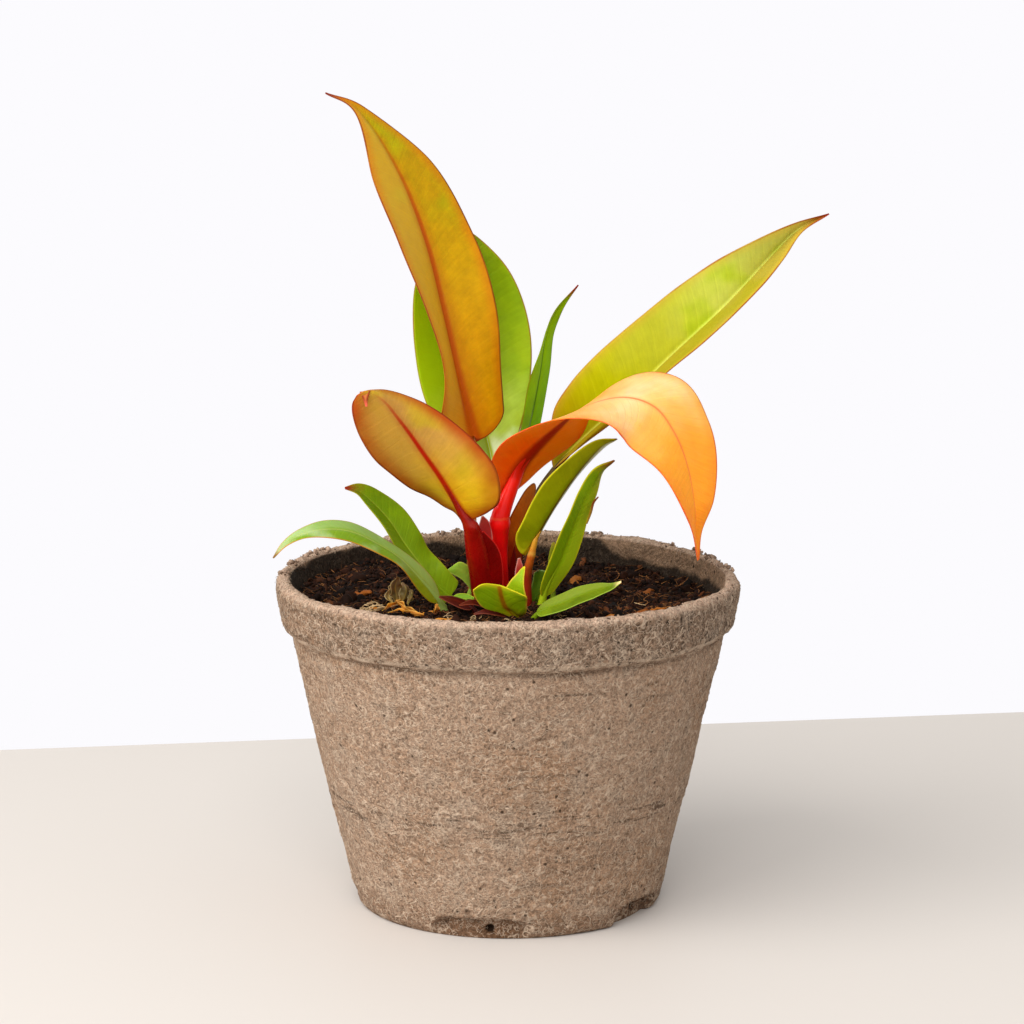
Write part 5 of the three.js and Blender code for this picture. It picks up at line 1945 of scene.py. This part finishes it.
    @staticmethod
    def loose() -> list[Strewn]:
        """Describe the threads and crumbs on the pot."""
        thread = ThreadFinish("loose_thread", rgb(132, 108, 88), rgb(206, 182, 158))
        crumb = ThreadFinish("lip_crumb", rgb(84, 64, 50), rgb(166, 142, 122))
        fluff = ThreadFinish("rim_fluff", rgb(104, 82, 66), rgb(180, 154, 134))
        return [
            Strewn(
                "long_threads", Cover.EVEN, 15.0, (0.6, 1.3), 6.0, 0.02, 11, thread,
                [curl(seed, 1.9, 0.07, 5, 1.5) for seed in range(8)]),
            Strewn(
                "short_threads", Cover.EVEN, 27.0, (0.6, 1.4), 10.0, 0.01, 23, thread,
                [curl(seed + 20, 1.0, 0.065, 3, 1.2) for seed in range(8)]),
            Strewn(
                "lip_crumbs", Cover.LIP, 9.0, (0.2, 0.5), 180.0, 0.0, 31, crumb,
                [pebble(seed, (1.0, 0.8, 0.6), 1) for seed in range(6)]),
            Strewn(
                "rim_tufts", Cover.TUFT, 170.0, (0.5, 1.3), 180.0, 0.3, 37, fluff,
                [
                    *(pebble(seed, (0.7, 0.6, 0.5), 1) for seed in range(4)),
                    *(curl(seed + 60, 1.8, 0.07, 5, 3.0) for seed in range(4)),
                ],
            ),
        ]


def pebble(seed: int, stretch: Point, level: int) -> Mesh:
    """Make a crumb about a millimetre in radius.

    Args:
        seed: chooses its shape.
        stretch: its half sizes in millimetres.
        level: 1 for 20 faces, 2 for 80.

    Returns:
        The crumb.
    """
    shell = bmesh.new()
    bmesh.ops.create_icosphere(shell, subdivisions=level, radius=1.0)
    points = np.array([v.co[:] for v in shell.verts])
    faces = [tuple(v.index for v in face.verts) for face in shell.faces]
    shell.free()
    lumps = 1.0 + 0.42 * rough(points * 1.3, 1.0, seed + 60)
    return Mesh.of(points * lumps[:, None] * np.array(stretch), faces)


def shard(seed: int, length: float, width: float, flat: float) -> Mesh:
    """Make a splintered strip of bark.

    Args:
        seed: chooses its shape.
        length: its length in millimetres.
        width: its half width in millimetres.
        flat: its thickness as a share of its width.

    Returns:
        The strip.
    """
    draw = np.random.default_rng(1700 + seed)
    taper = np.array((0.35, 0.9, 1.0, 1.0, 1.0, 0.8, 0.3))
    count, sides = len(taper), 5
    aside, rise = draw.uniform(-0.1, 0.1, count), draw.uniform(-0.06, 0.1, count)
    path = np.stack([np.linspace(-0.5, 0.5, count), aside, rise], axis=1) * length
    shape, faces = tube(path, width * draw.uniform(0.5, 1.1, count) * taper, sides)
    centre = np.concatenate([np.repeat(path, sides, axis=0), path[:1], path[-1:]])
    return Mesh.of(centre + (shape - centre) * np.array((1.0, 1.0, flat)), faces)


def curl(seed: int, length: float, thick: float, steps: int, bend: float) -> Mesh:
    """Make one curly thread that lies flat.

    Args:
        seed: chooses its bends.
        length: its length in millimetres.
        thick: its radius in millimetres.
        steps: how many pieces it has.
        bend: how much it curls.

    Returns:
        The thread.
    """
    draw = np.random.default_rng(900 + seed)
    turn = draw.uniform(-0.4, 0.4)
    drift = draw.uniform(-1.0, 1.0) * bend * 2.2 / steps
    heading = draw.uniform(0.0, FULL_TURN)
    points = [np.zeros(3)]
    for i in range(steps):
        heading += drift + turn * draw.uniform(0.2, 1.0) + (drift if i * 2 > steps and seed % 2 else 0.0)
        points.append(points[-1] + np.array((math.cos(heading), math.sin(heading), 0.0)) * length / steps)
    path = np.array(points)
    path -= path.mean(axis=0)
    path[:, 2] = draw.uniform(-0.5, 0.6, len(path)) * thick
    radii = thick * np.concatenate([[0.55], np.full(steps - 1, 1.0), [0.5]])
    return Mesh.of(*tube(path, radii, 3))


PER_SQUARE_CM = 1e4

# The sockets of a Random Value node go by number, because a name is there once for each kind of value
FLOAT_LOW, FLOAT_HIGH, FLOAT_OUT = 2, 3, 1
WHOLE_LOW, WHOLE_HIGH, WHOLE_OUT = 4, 5, 2


class Cover(Enum):
    """Where shapes are strewn: the name of the attribute that gives their share of the full density."""

    EVEN = "cover"
    LIP = "lip"
    TUFT = "tuft"


@dataclass
class Strewn:
    """Small shapes strewn over a surface by Geometry Nodes, turned into one plain mesh.

    The density is per square centimetre, the tilt in degrees and the lift in millimetres.
    """

    name: str
    where: Cover
    density: float
    size: tuple[float, float]
    tilt: float
    lift: float
    seed: int
    finish: ThreadFinish
    shapes: list[Mesh]

    def over(self, surface: bpy.types.Object, slot: str) -> bpy.types.Object:
        """Strew the shapes and dress them.

        Args:
            surface: the object whose attribute gives the share of the full density.
            slot: the name of the record's slot, which place_piece only logs.

        Returns:
            One plain mesh object, placed as a piece.
        """
        scene = bpy.context.scene.collection
        store = bpy.data.collections.new(f"{self.name}_shapes")
        scene.children.link(store)
        samples = []
        for i, shape in enumerate(self.shapes):
            sample = shape.make(f"{self.name}_shape_{i}")
            scene.objects.unlink(sample)
            store.objects.link(sample)
            samples.append(sample)
        carrier = bpy.data.objects.new(f"{self.name}_carrier", surface.data)
        scene.objects.link(carrier)
        group, material = self._tree(store), self.finish.paint()
        modifier = carrier.modifiers.new(self.name, "NODES")
        modifier.node_group = group
        values = {
            "Density": self.density * PER_SQUARE_CM, "Smallest": self.size[0], "Largest": self.size[1],
            "Tilt": math.radians(self.tilt), "Lift": self.lift * MM, "Seed": self.seed, "Material": material,
        }
        for item in group.interface.items_tree:
            if item.name in values and item.in_out == "INPUT":
                modifier[item.identifier] = values[item.name]
        bpy.context.view_layer.update()
        ready = carrier.evaluated_get(bpy.context.evaluated_depsgraph_get())
        mesh = bpy.data.meshes.new_from_object(ready)
        made = bpy.data.objects.new(self.name, mesh)
        scene.objects.link(made)
        mesh.name = self.name
        carrier.modifiers.clear()
        bpy.data.objects.remove(carrier)
        for sample in samples:
            spare = sample.data
            bpy.data.objects.remove(sample)
            bpy.data.meshes.remove(spare)
        bpy.data.collections.remove(store)
        bpy.data.node_groups.remove(group)
        return place_piece(made, material, slot)

    def _tree(self, store: bpy.types.Collection) -> bpy.types.NodeTree:
        """Build the node group.

        Args:
            store: the collection that holds the shapes.

        Returns:
            The group.
        """
        group = bpy.data.node_groups.new(f"{self.name}_nodes", "GeometryNodeTree")
        numbers = dict.fromkeys(("Density", "Smallest", "Largest", "Tilt", "Lift"), "Float")
        kinds = {"Geometry": "Geometry", **numbers, "Seed": "Int", "Material": "Material"}
        for name, kind in kinds.items():
            group.interface.new_socket(name=name, in_out="INPUT", socket_type=f"NodeSocket{kind}")
        group.interface.new_socket(name="Geometry", in_out="OUTPUT", socket_type="NodeSocketGeometry")
        tree = Tree(group)
        surface = tree.make("NodeGroupInput")
        seed = surface.other("Seed")

        def pick(low: Value, high: Value, draw: int) -> Signal:
            """Return a random number between two others."""
            sockets = {FLOAT_LOW: low, FLOAT_HIGH: high, "Seed": seed + draw}
            return tree.make("FunctionNodeRandomValue", {"data_type": "FLOAT"}, sockets, FLOAT_OUT)

        number = {"data_type": "FLOAT"}
        cover = tree.make("GeometryNodeInputNamedAttribute", number, {"Name": self.where.value})
        spots = tree.make(
            "GeometryNodeDistributePointsOnFaces", {"distribute_method": "RANDOM"},
            {"Mesh": surface, "Density": cover * surface.other("Density"), "Seed": seed},
        )
        outward = {0: spots.other("Normal"), "Scale": surface.other("Lift")}
        lifted = tree.make("ShaderNodeVectorMath", {"operation": "SCALE"}, outward)
        raised = tree.make("GeometryNodeSetPosition", None, {"Geometry": spots, "Offset": lifted})
        lean, roll, spin = pick(-1.0, 1.0, 1), pick(-1.0, 1.0, 2), pick(0.0, FULL_TURN, 3)
        tilt = surface.other("Tilt")
        euler = tree.make("ShaderNodeCombineXYZ", None, {0: lean * tilt, 1: roll * tilt, 2: spin})
        facing = tree.make(
            "FunctionNodeRotateRotation", {"rotation_space": "LOCAL"},
            {0: spots.other("Rotation"), 1: tree.make("FunctionNodeEulerToRotation", None, {0: euler})},
        )
        size = pick(surface.other("Smallest"), surface.other("Largest"), 4)
        numbered = {WHOLE_LOW: 0, WHOLE_HIGH: len(self.shapes) - 1, "Seed": seed + 5}
        chosen = tree.make("FunctionNodeRandomValue", {"data_type": "INT"}, numbered, WHOLE_OUT)
        shapes = tree.make(
            "GeometryNodeCollectionInfo", {"transform_space": "ORIGINAL"},
            {"Collection": store, "Separate Children": True, "Reset Children": True},
        )
        placed = tree.make(
            "GeometryNodeInstanceOnPoints", None,
            {"Points": raised, "Instance": shapes, "Pick Instance": True, "Instance Index": chosen,
             "Rotation": facing, "Scale": size},
        )
        toned = tree.make(
            "GeometryNodeStoreNamedAttribute", {"data_type": "FLOAT", "domain": "INSTANCE"},
            {"Geometry": placed, "Name": "tone", "Value": pick(0.0, 1.0, 6)},
        )
        whole = tree.make("GeometryNodeRealizeInstances", None, {"Geometry": toned})
        coat = {"Geometry": whole, "Material": surface.other("Material")}
        tree.close("NodeGroupOutput", tree.make("GeometryNodeSetMaterial", None, coat))
        return group


@dataclass
class Soil:
    """The potting soil: lumpy, with crumbs, root fibres and bark chips on it. Sizes are in millimetres."""

    level: float = 79.0
    bottom: float = 3.3
    edge: float = 52.7
    overlap: float = 1.8
    wall_rings: int = 5
    rings: int = 112
    sides: int = 300

    def top(self, x: np.ndarray, y: np.ndarray) -> np.ndarray:
        """Return the height of the soil before its fine lumps."""
        r = np.hypot(x, y) / self.edge
        lumps = 0.5 * np.sin(0.23 * x + 1.1) * np.cos(0.19 * y - 0.6) + 0.3 * np.sin(0.41 * x - 0.33 * y)
        lumps = lumps + 0.2 * np.cos(0.62 * y + 0.47 * x + 2.0)
        sunk = 2.4 * np.clip((0.6 * x + 0.75 * y) / self.edge, 0.0, 1.0) ** 1.5
        return self.level + lumps * np.minimum(1.0, 5.0 * (1.0 - r)) + 1.6 * r * r - sunk

    def build(self) -> list[bpy.types.Object]:
        """Build and dress the soil and what lies on it.

        Returns:
            The pieces made.
        """
        angle = np.linspace(0.0, FULL_TURN, self.sides, endpoint=False)
        ray = np.stack([np.cos(angle), np.sin(angle)], axis=1)
        foot = POT_BASE + POT_SLOPE * self.bottom - POT_WALL - self.overlap
        brim = self.edge + self.overlap
        wall = np.linspace(foot, brim, self.wall_rings + 1)[:-1]
        radius = np.concatenate([wall, np.linspace(brim, 0.6, self.rings)])
        grid = np.zeros((len(radius), self.sides, 3))
        grid[..., :2] = ray[None] * radius[:, None, None]
        side, top = grid[:self.wall_rings], grid[self.wall_rings:]
        fine = layers(top, 41, (1.3, 6.4), (0.9, 2.9), (0.5, 1.3))
        top[..., 2] = self.top(top[..., 0], top[..., 1]) + fine
        share = np.linspace(0.0, 1.0, self.wall_rings + 1)[:-1]
        side[..., 2] = self.bottom + share[:, None] * (top[:1, :, 2] - self.bottom)
        points, faces = turned(grid, (0.0, 0.0, self.bottom), (0.0, 0.0, float(grid[-1, :, 2].mean())))
        covered = np.arange(len(radius)) > self.wall_rings
        cover = np.append(np.repeat(covered, self.sides), [0.0, 1.0])
        made = Mesh.of(points, faces, cover=cover).make("potting_soil")
        soil = place_piece(made, SoilFinish().paint(), "soil", ["soil"])
        return [soil, *(job.over(soil, "soil") for job in self.loose()), self._chips()]

    @staticmethod
    def loose() -> list[Strewn]:
        """Describe the crumbs and fibres on the soil."""
        crumb = ThreadFinish("soil_crumb", rgb(8, 4, 2), rgb(46, 23, 12), 0.8, 900.0, 0.0002)
        fibre = ThreadFinish("root_fibre", rgb(40, 19, 9), rgb(158, 106, 62))
        chip = ThreadFinish("bark_crumb", rgb(26, 12, 6), rgb(96, 54, 28), 0.75, 700.0, 0.0003)
        return [
            Strewn(
                "soil_crumbs", Cover.EVEN, 62.0, (0.2, 0.85), 180.0, 0.15, 51, crumb,
                [pebble(seed, (1.0, 0.85, 0.7), 1) for seed in range(8)]),
            Strewn(
                "root_fibres", Cover.EVEN, 14.0, (0.5, 1.3), 26.0, 0.35, 61, fibre,
                [curl(seed + 40, 3.8, 0.1, 5, 2.2) for seed in range(8)]),
            Strewn(
                "bark_crumbs", Cover.EVEN, 3.0, (0.45, 1.2), 34.0, 0.4, 71, chip,
                [shard(seed, 3.2, 0.8, 0.45) for seed in range(8)]),
            Strewn(
                "soil_clods", Cover.EVEN, 1.1, (0.6, 1.2), 180.0, 0.2, 81, crumb,
                [pebble(seed + 17, (1.8, 1.4, 1.1), 3) for seed in range(5)]),
        ]

    def _chips(self) -> bpy.types.Object:
        """Lay the larger orange bark chips. Each has a place, three sizes, a turn and a tone.

        Returns:
            The piece.
        """
        bark = ThreadFinish("orange_bark", rgb(120, 56, 14), rgb(232, 156, 60), 0.7, 600.0, 0.0004)
        spots = (
            (-27.0, -20.0, 2.2, 0.8, 0.8, 20, 0.4), (-31.0, -19.0, 1.6, 0.8, 0.8, 70, 0.3),
            (-23.0, -22.0, 2.0, 0.8, 0.7, -12, 0.6), (-19.5, -21.0, 1.8, 0.8, 0.8, 40, 0.4),
            (-34.0, -18.0, 2.2, 1.0, 0.8, -40, 0.3), (-16.0, -28.0, 3.4, 0.9, 0.7, 8, 0.6),
            (33.0, -26.0, 3.4, 1.1, 0.8, 30, 0.1), (38.0, -20.0, 2.4, 1.0, 0.7, -20, 0.2),
            (26.0, -31.0, 2.8, 1.0, 0.7, 12, 0.3), (36.0, 6.0, 3.0, 1.2, 0.8, 50, 0.1),
            (-38.0, 2.0, 3.2, 1.3, 0.9, -30, 0.1), (18.0, 22.0, 3.0, 1.3, 0.9, 75, 0.2),
            (-22.0, 24.0, 3.4, 1.2, 0.9, 15, 0.1),
        )
        mesh = Mesh()
        for i, (x, y, long, wide, thick, turn, tone) in enumerate(spots):
            part = shard(i + 30, 2.1 * long, 1.25 * wide, 0.6 * thick)
            cos, sin = math.cos(math.radians(turn)), math.sin(math.radians(turn))
            shape = part.points[0]
            east, north, up = shape.T
            spun = np.stack([east * cos - north * sin, east * sin + north * cos, up + 0.12 * east], axis=1)
            height = float(self.top(np.array(x), np.array(y))) + 0.7
            mesh.add(spun + np.array((x, y, height)), part.faces, tone=np.full(len(shape), tone))
        return place_piece(mesh.make("bark_chips"), bark.paint(), "soil")


@dataclass
class Litter:
    """The dried leaf scrap, the orange strips, the curled cream fibres and the pale roots on the soil.

    Each scrap or strip is a midrib, its half widths, and the turns of its left and right halves.
    """

    scraps: tuple[Scrap, ...] = (
        (
            ((-28.3, -8, 80.2), (-28.6, -7.5, 82.2), (-28.8, -8, 84.4), (-28, -8.2, 86.8)),
            (0.9, 2.2, 1.9, 0.4), 50, -20),
        (
            ((-27, -9.2, 80.2), (-26.3, -8.1, 81.8), (-26, -7, 83.4), (-26.9, -4.9, 84.8)),
            (0.8, 1.8, 1.6, 0.4), 20, -65),
        (
            ((-29.6, -9.2, 80.2), (-30.6, -8.7, 81.4), (-30.5, -5.7, 82.6), (-29.8, -3.5, 84)),
            (0.5, 1.1, 1.0, 0.3), 70, -10),
        (
            ((-25.4, -11.4, 80.4), (-24.7, -7.7, 81.2), (-24.5, -6.3, 82.2), (-25.3, -4.8, 83.2)),
            (0.4, 0.9, 0.8, 0.3), 10, -70),
    )
    strips: tuple[Scrap, ...] = (
        (
            ((-31.6, -23.1, 80.6), (-29.9, -19.9, 81.2), (-28.3, -17, 81.6), (-27, -15.8, 82.4)),
            (0.6, 1.1, 0.9, 0.3), 40, -50),
        (
            ((-28, -17.1, 82.4), (-26.4, -20, 82), (-24.8, -22, 81.4), (-22.8, -22.8, 80.8)),
            (0.5, 0.9, 0.9, 0.4), 60, -30),
        (
            ((-30, -25.2, 80.8), (-27.2, -24.7, 81.2), (-24.5, -25, 81), (-20.9, -26.4, 80.8)),
            (0.5, 0.9, 0.8, 0.3), 30, -60),
        (
            ((-18, -23.1, 80.6), (-17.7, -25.1, 81.8), (-17.6, -26.1, 82.8), (-17.9, -26.3, 83.6)),
            (0.5, 0.7, 0.6, 0.3), 20, -40),
    )
    clump: tuple[Point, ...] = (
        (-36.5, -21.1, 81.2), (-35.8, -18.2, 81.6), (-34.9, -22.8, 81.3), (-34.2, -21.5, 81.8),
        (-33.6, -17.4, 81.7), (-33.1, -22.8, 81.3), (-32.2, -20.8, 81.4), (-31.7, -19.4, 81.6),
        (-34.6, -17.6, 82))
    roots: tuple[Point, ...] = (
        (-14.8, -28.5, 81), (-14, -31.1, 80.8), (-8.5, -30.8, 81), (-7.5, -32.2, 80.8), (-19.8, 53.7, 80),
        (-20.6, 55.9, 80.4), (33.7, -17, 81.6), (13.2, -28.5, 81), (0.2, -32.7, 80.9), (-28.6, -21.2, 82))

    @staticmethod
    def _leaves(name: str, rows: tuple[Scrap, ...], finish: BladeFinish) -> bpy.types.Object:
        """Lay down small dry blades.

        Args:
            name: the piece's name.
            rows: the midrib, half widths and turns of each blade.
            finish: their finish.

        Returns:
            The piece.
        """
        mesh = Mesh()
        small = {"wave": 0.5, "rows": 30, "columns": 5, "thickness": 0.35, "groove": 0.0}
        for spine, wide, left, right in rows:
            Blade(spine, wide, (left,) * 2, (right,) * 2, **small).into(mesh)
        return place_piece(mesh.make(name), finish.paint(), "soil")

    @staticmethod
    def _curls(mesh: Mesh, spots: tuple[Point, ...], seed: int, size: tuple[float, float, float]) -> None:
        """Add curled threads to a mesh.

        Args:
            mesh: the mesh to add to.
            spots: where they lie.
            seed: chooses their shapes.
            size: their length, radius and bend.
        """
        draw = np.random.default_rng(seed)
        length, thick, bend = size
        for i, spot in enumerate(spots):
            part = curl(seed + i, length, thick, 14, bend)
            lean = Euler((*draw.uniform(-0.5, 0.5, 2), 0.0)).to_matrix()
            shape = part.points[0] @ np.array(lean).T + np.array(spot)
            mesh.add(shape, part.faces, tone=np.full(len(shape), draw.uniform(0.3, 1.0)))

    def build(self) -> list[bpy.types.Object]:
        """Build and dress the litter.

        Returns:
            The pieces made.
        """
        dry = BladeFinish(
            "dried_scrap", near=shades((0.0, 160, 120, 50), (0.4, 146, 126, 84), (1.0, 124, 98, 74)),
            far=shades((0.0, 104, 76, 36), (1.0, 104, 84, 60)), patch=rgb(84, 64, 32), patch_size=2.6,
            rib=rgb(200, 166, 96), rib_width=(0.4, 0.2), edge=rgb(186, 156, 112), edge_width=0.2,
            tip=rgb(110, 88, 68), mottle=0.8, roughness=0.7)
        strip = BladeFinish(
            "dry_strip", near=shades((0.0, 170, 84, 14), (0.5, 206, 124, 28), (1.0, 190, 116, 40)),
            far=shades((0.0, 120, 56, 12), (1.0, 170, 96, 24)), patch=rgb(130, 64, 14), patch_size=3.0,
            rib=rgb(226, 166, 80), rib_width=(0.3, 0.2), edge=rgb(226, 166, 80), edge_width=0.2,
            tip=rgb(190, 120, 44), mottle=0.7, roughness=0.6)
        cream = ThreadFinish("cream_fibre", rgb(110, 74, 40), rgb(216, 184, 138), 0.8)
        mesh = Mesh()
        sizes = ((6.0, 0.16, 6.0), (4.0, 0.14, 3.0), (4.4, 0.09, 2.4), (3.4, 0.08, 1.6))
        for i, (spots, size) in enumerate(zip((self.clump, self.clump, self.roots, self.roots), sizes)):
            self._curls(mesh, spots, 300 + 20 * i, size)
        return [
            self._leaves("dried_scrap", self.scraps, dry), self._leaves("dry_strips", self.strips, strip),
            place_piece(mesh.make("cream_fibres"), cream.paint(), "soil")]


# Studio


@dataclass
class Studio:
    """The table top, the light backdrop, the lamps and the camera. The lens and table are in millimetres."""

    edge_middle: Point = (5.0, 172.5, 0.0)
    edge_turn: float = 8.49
    table: tuple[float, float, float] = (3200.0, 1900.0, 30.0)
    pitch: float = 79.55
    lens: float = 112.5

    def build(self) -> None:
        """Set up the whole studio."""
        self._table()
        self._world()
        self._lamp(
            "window_light", (-1000.0, -740.0, 1050.0), (0.0, 0.0, 90.0), 20.6, 1300.0, (1.0, 0.985, 0.96))
        self._lamp("left_card", (-1450.0, -450.0, 420.0), (0.0, 0.0, 60.0), 8.5, 1400.0, (1.0, 0.99, 0.98))
        self._lamp(
            "top_softbox", (-100.0, -1500.0, 1150.0), (0.0, -420.0, 0.0), 16.0, 1000.0, (1.0, 0.99, 0.98))
        self._camera()
        bpy.context.scene.view_settings.view_transform = "Standard"

    def _table(self) -> None:
        """Build the table top, with its far edge as it runs in the photograph."""
        wide, deep, thick = self.table
        turn = math.radians(self.edge_turn)
        edge = np.array((math.cos(turn), math.sin(turn), 0.0))
        inward = np.array((edge[1], -edge[0], 0.0))
        corners = ((-1, 0), (1, 0), (1, deep), (-1, deep))
        top = np.array([self.edge_middle + edge * s * wide / 2 + inward * d for s, d in corners])
        sides = [(i, (i + 1) % 4, (i + 1) % 4 + 4, i + 4) for i in range(4)]
        slab = np.concatenate([top, top - (0.0, 0.0, thick)])
        table = Mesh.of(slab, [(3, 2, 1, 0), (4, 5, 6, 7), *sides]).make("table_top", False)
        table.data.materials.append(PlainFinish("pale_table", (0.636, 0.59, 0.55)).paint())

    def _world(self) -> None:
        """Light the scene evenly from a near-white backdrop."""
        world = bpy.data.worlds.new("pale_backdrop")
        bpy.context.scene.world = world
        world.use_nodes = True
        world.node_tree.nodes.clear()
        tree = Tree(world.node_tree)
        seen = tree.make("ShaderNodeBackground", None, {0: (*rgb(252, 251, 254), 1.0), 1: 1.0})
        light = tree.make("ShaderNodeBackground", None, {0: (0.99, 0.99, 0.985, 1.0), 1: 0.69})
        camera = tree.make("ShaderNodeLightPath", out="Is Camera Ray")
        mixed = tree.make("ShaderNodeMixShader", None, {0: camera, 1: light, 2: seen})
        tree.close("ShaderNodeOutputWorld", mixed)

    @staticmethod
    def _lamp(name: str, place: Point, aim: Point, power: float, size: float, colour: Colour) -> None:
        """Add one large soft lamp.

        Args:
            name: its name.
            place: where it stands, in millimetres.
            aim: where it points, in millimetres.
            power: its power in watts.
            size: its side in millimetres.
            colour: its colour.
        """
        data = bpy.data.lights.new(name, "AREA")
        data.energy, data.size, data.color = power, size * MM, colour
        lamp = bpy.data.objects.new(name, data)
        lamp.location = Vector(place) * MM
        lamp.rotation_euler = (Vector(aim) - Vector(place)).to_track_quat("-Z", "Y").to_euler()
        bpy.context.scene.collection.objects.link(lamp)

    def _camera(self) -> None:
        """Add the camera at the photograph's viewing angle."""
        data = bpy.data.cameras.new("viewpoint")
        data.lens, data.sensor_width, data.clip_start = self.lens, 36.0, 0.02
        camera = bpy.data.objects.new("viewpoint", data)
        camera.location = Vector(EYE) * MM
        camera.rotation_euler = Euler((math.radians(self.pitch), 0.0, 0.0))
        bpy.context.scene.collection.objects.link(camera)
        bpy.context.scene.camera = camera


def main() -> None:
    """Build everything in order and report each piece."""
    logging.basicConfig(level=logging.INFO, format="%(message)s")
    Studio().build()
    made: list[bpy.types.Object] = []
    for leaf in [*big_leaves(), *young_leaves()]:
        made += leaf.build()
    made += Bracts().build()
    made += Soil().build()
    made += Litter().build()
    made += FibrePot().build()
    LOG.info("%d pieces", len(made))


if __name__ == "__main__":
    main()
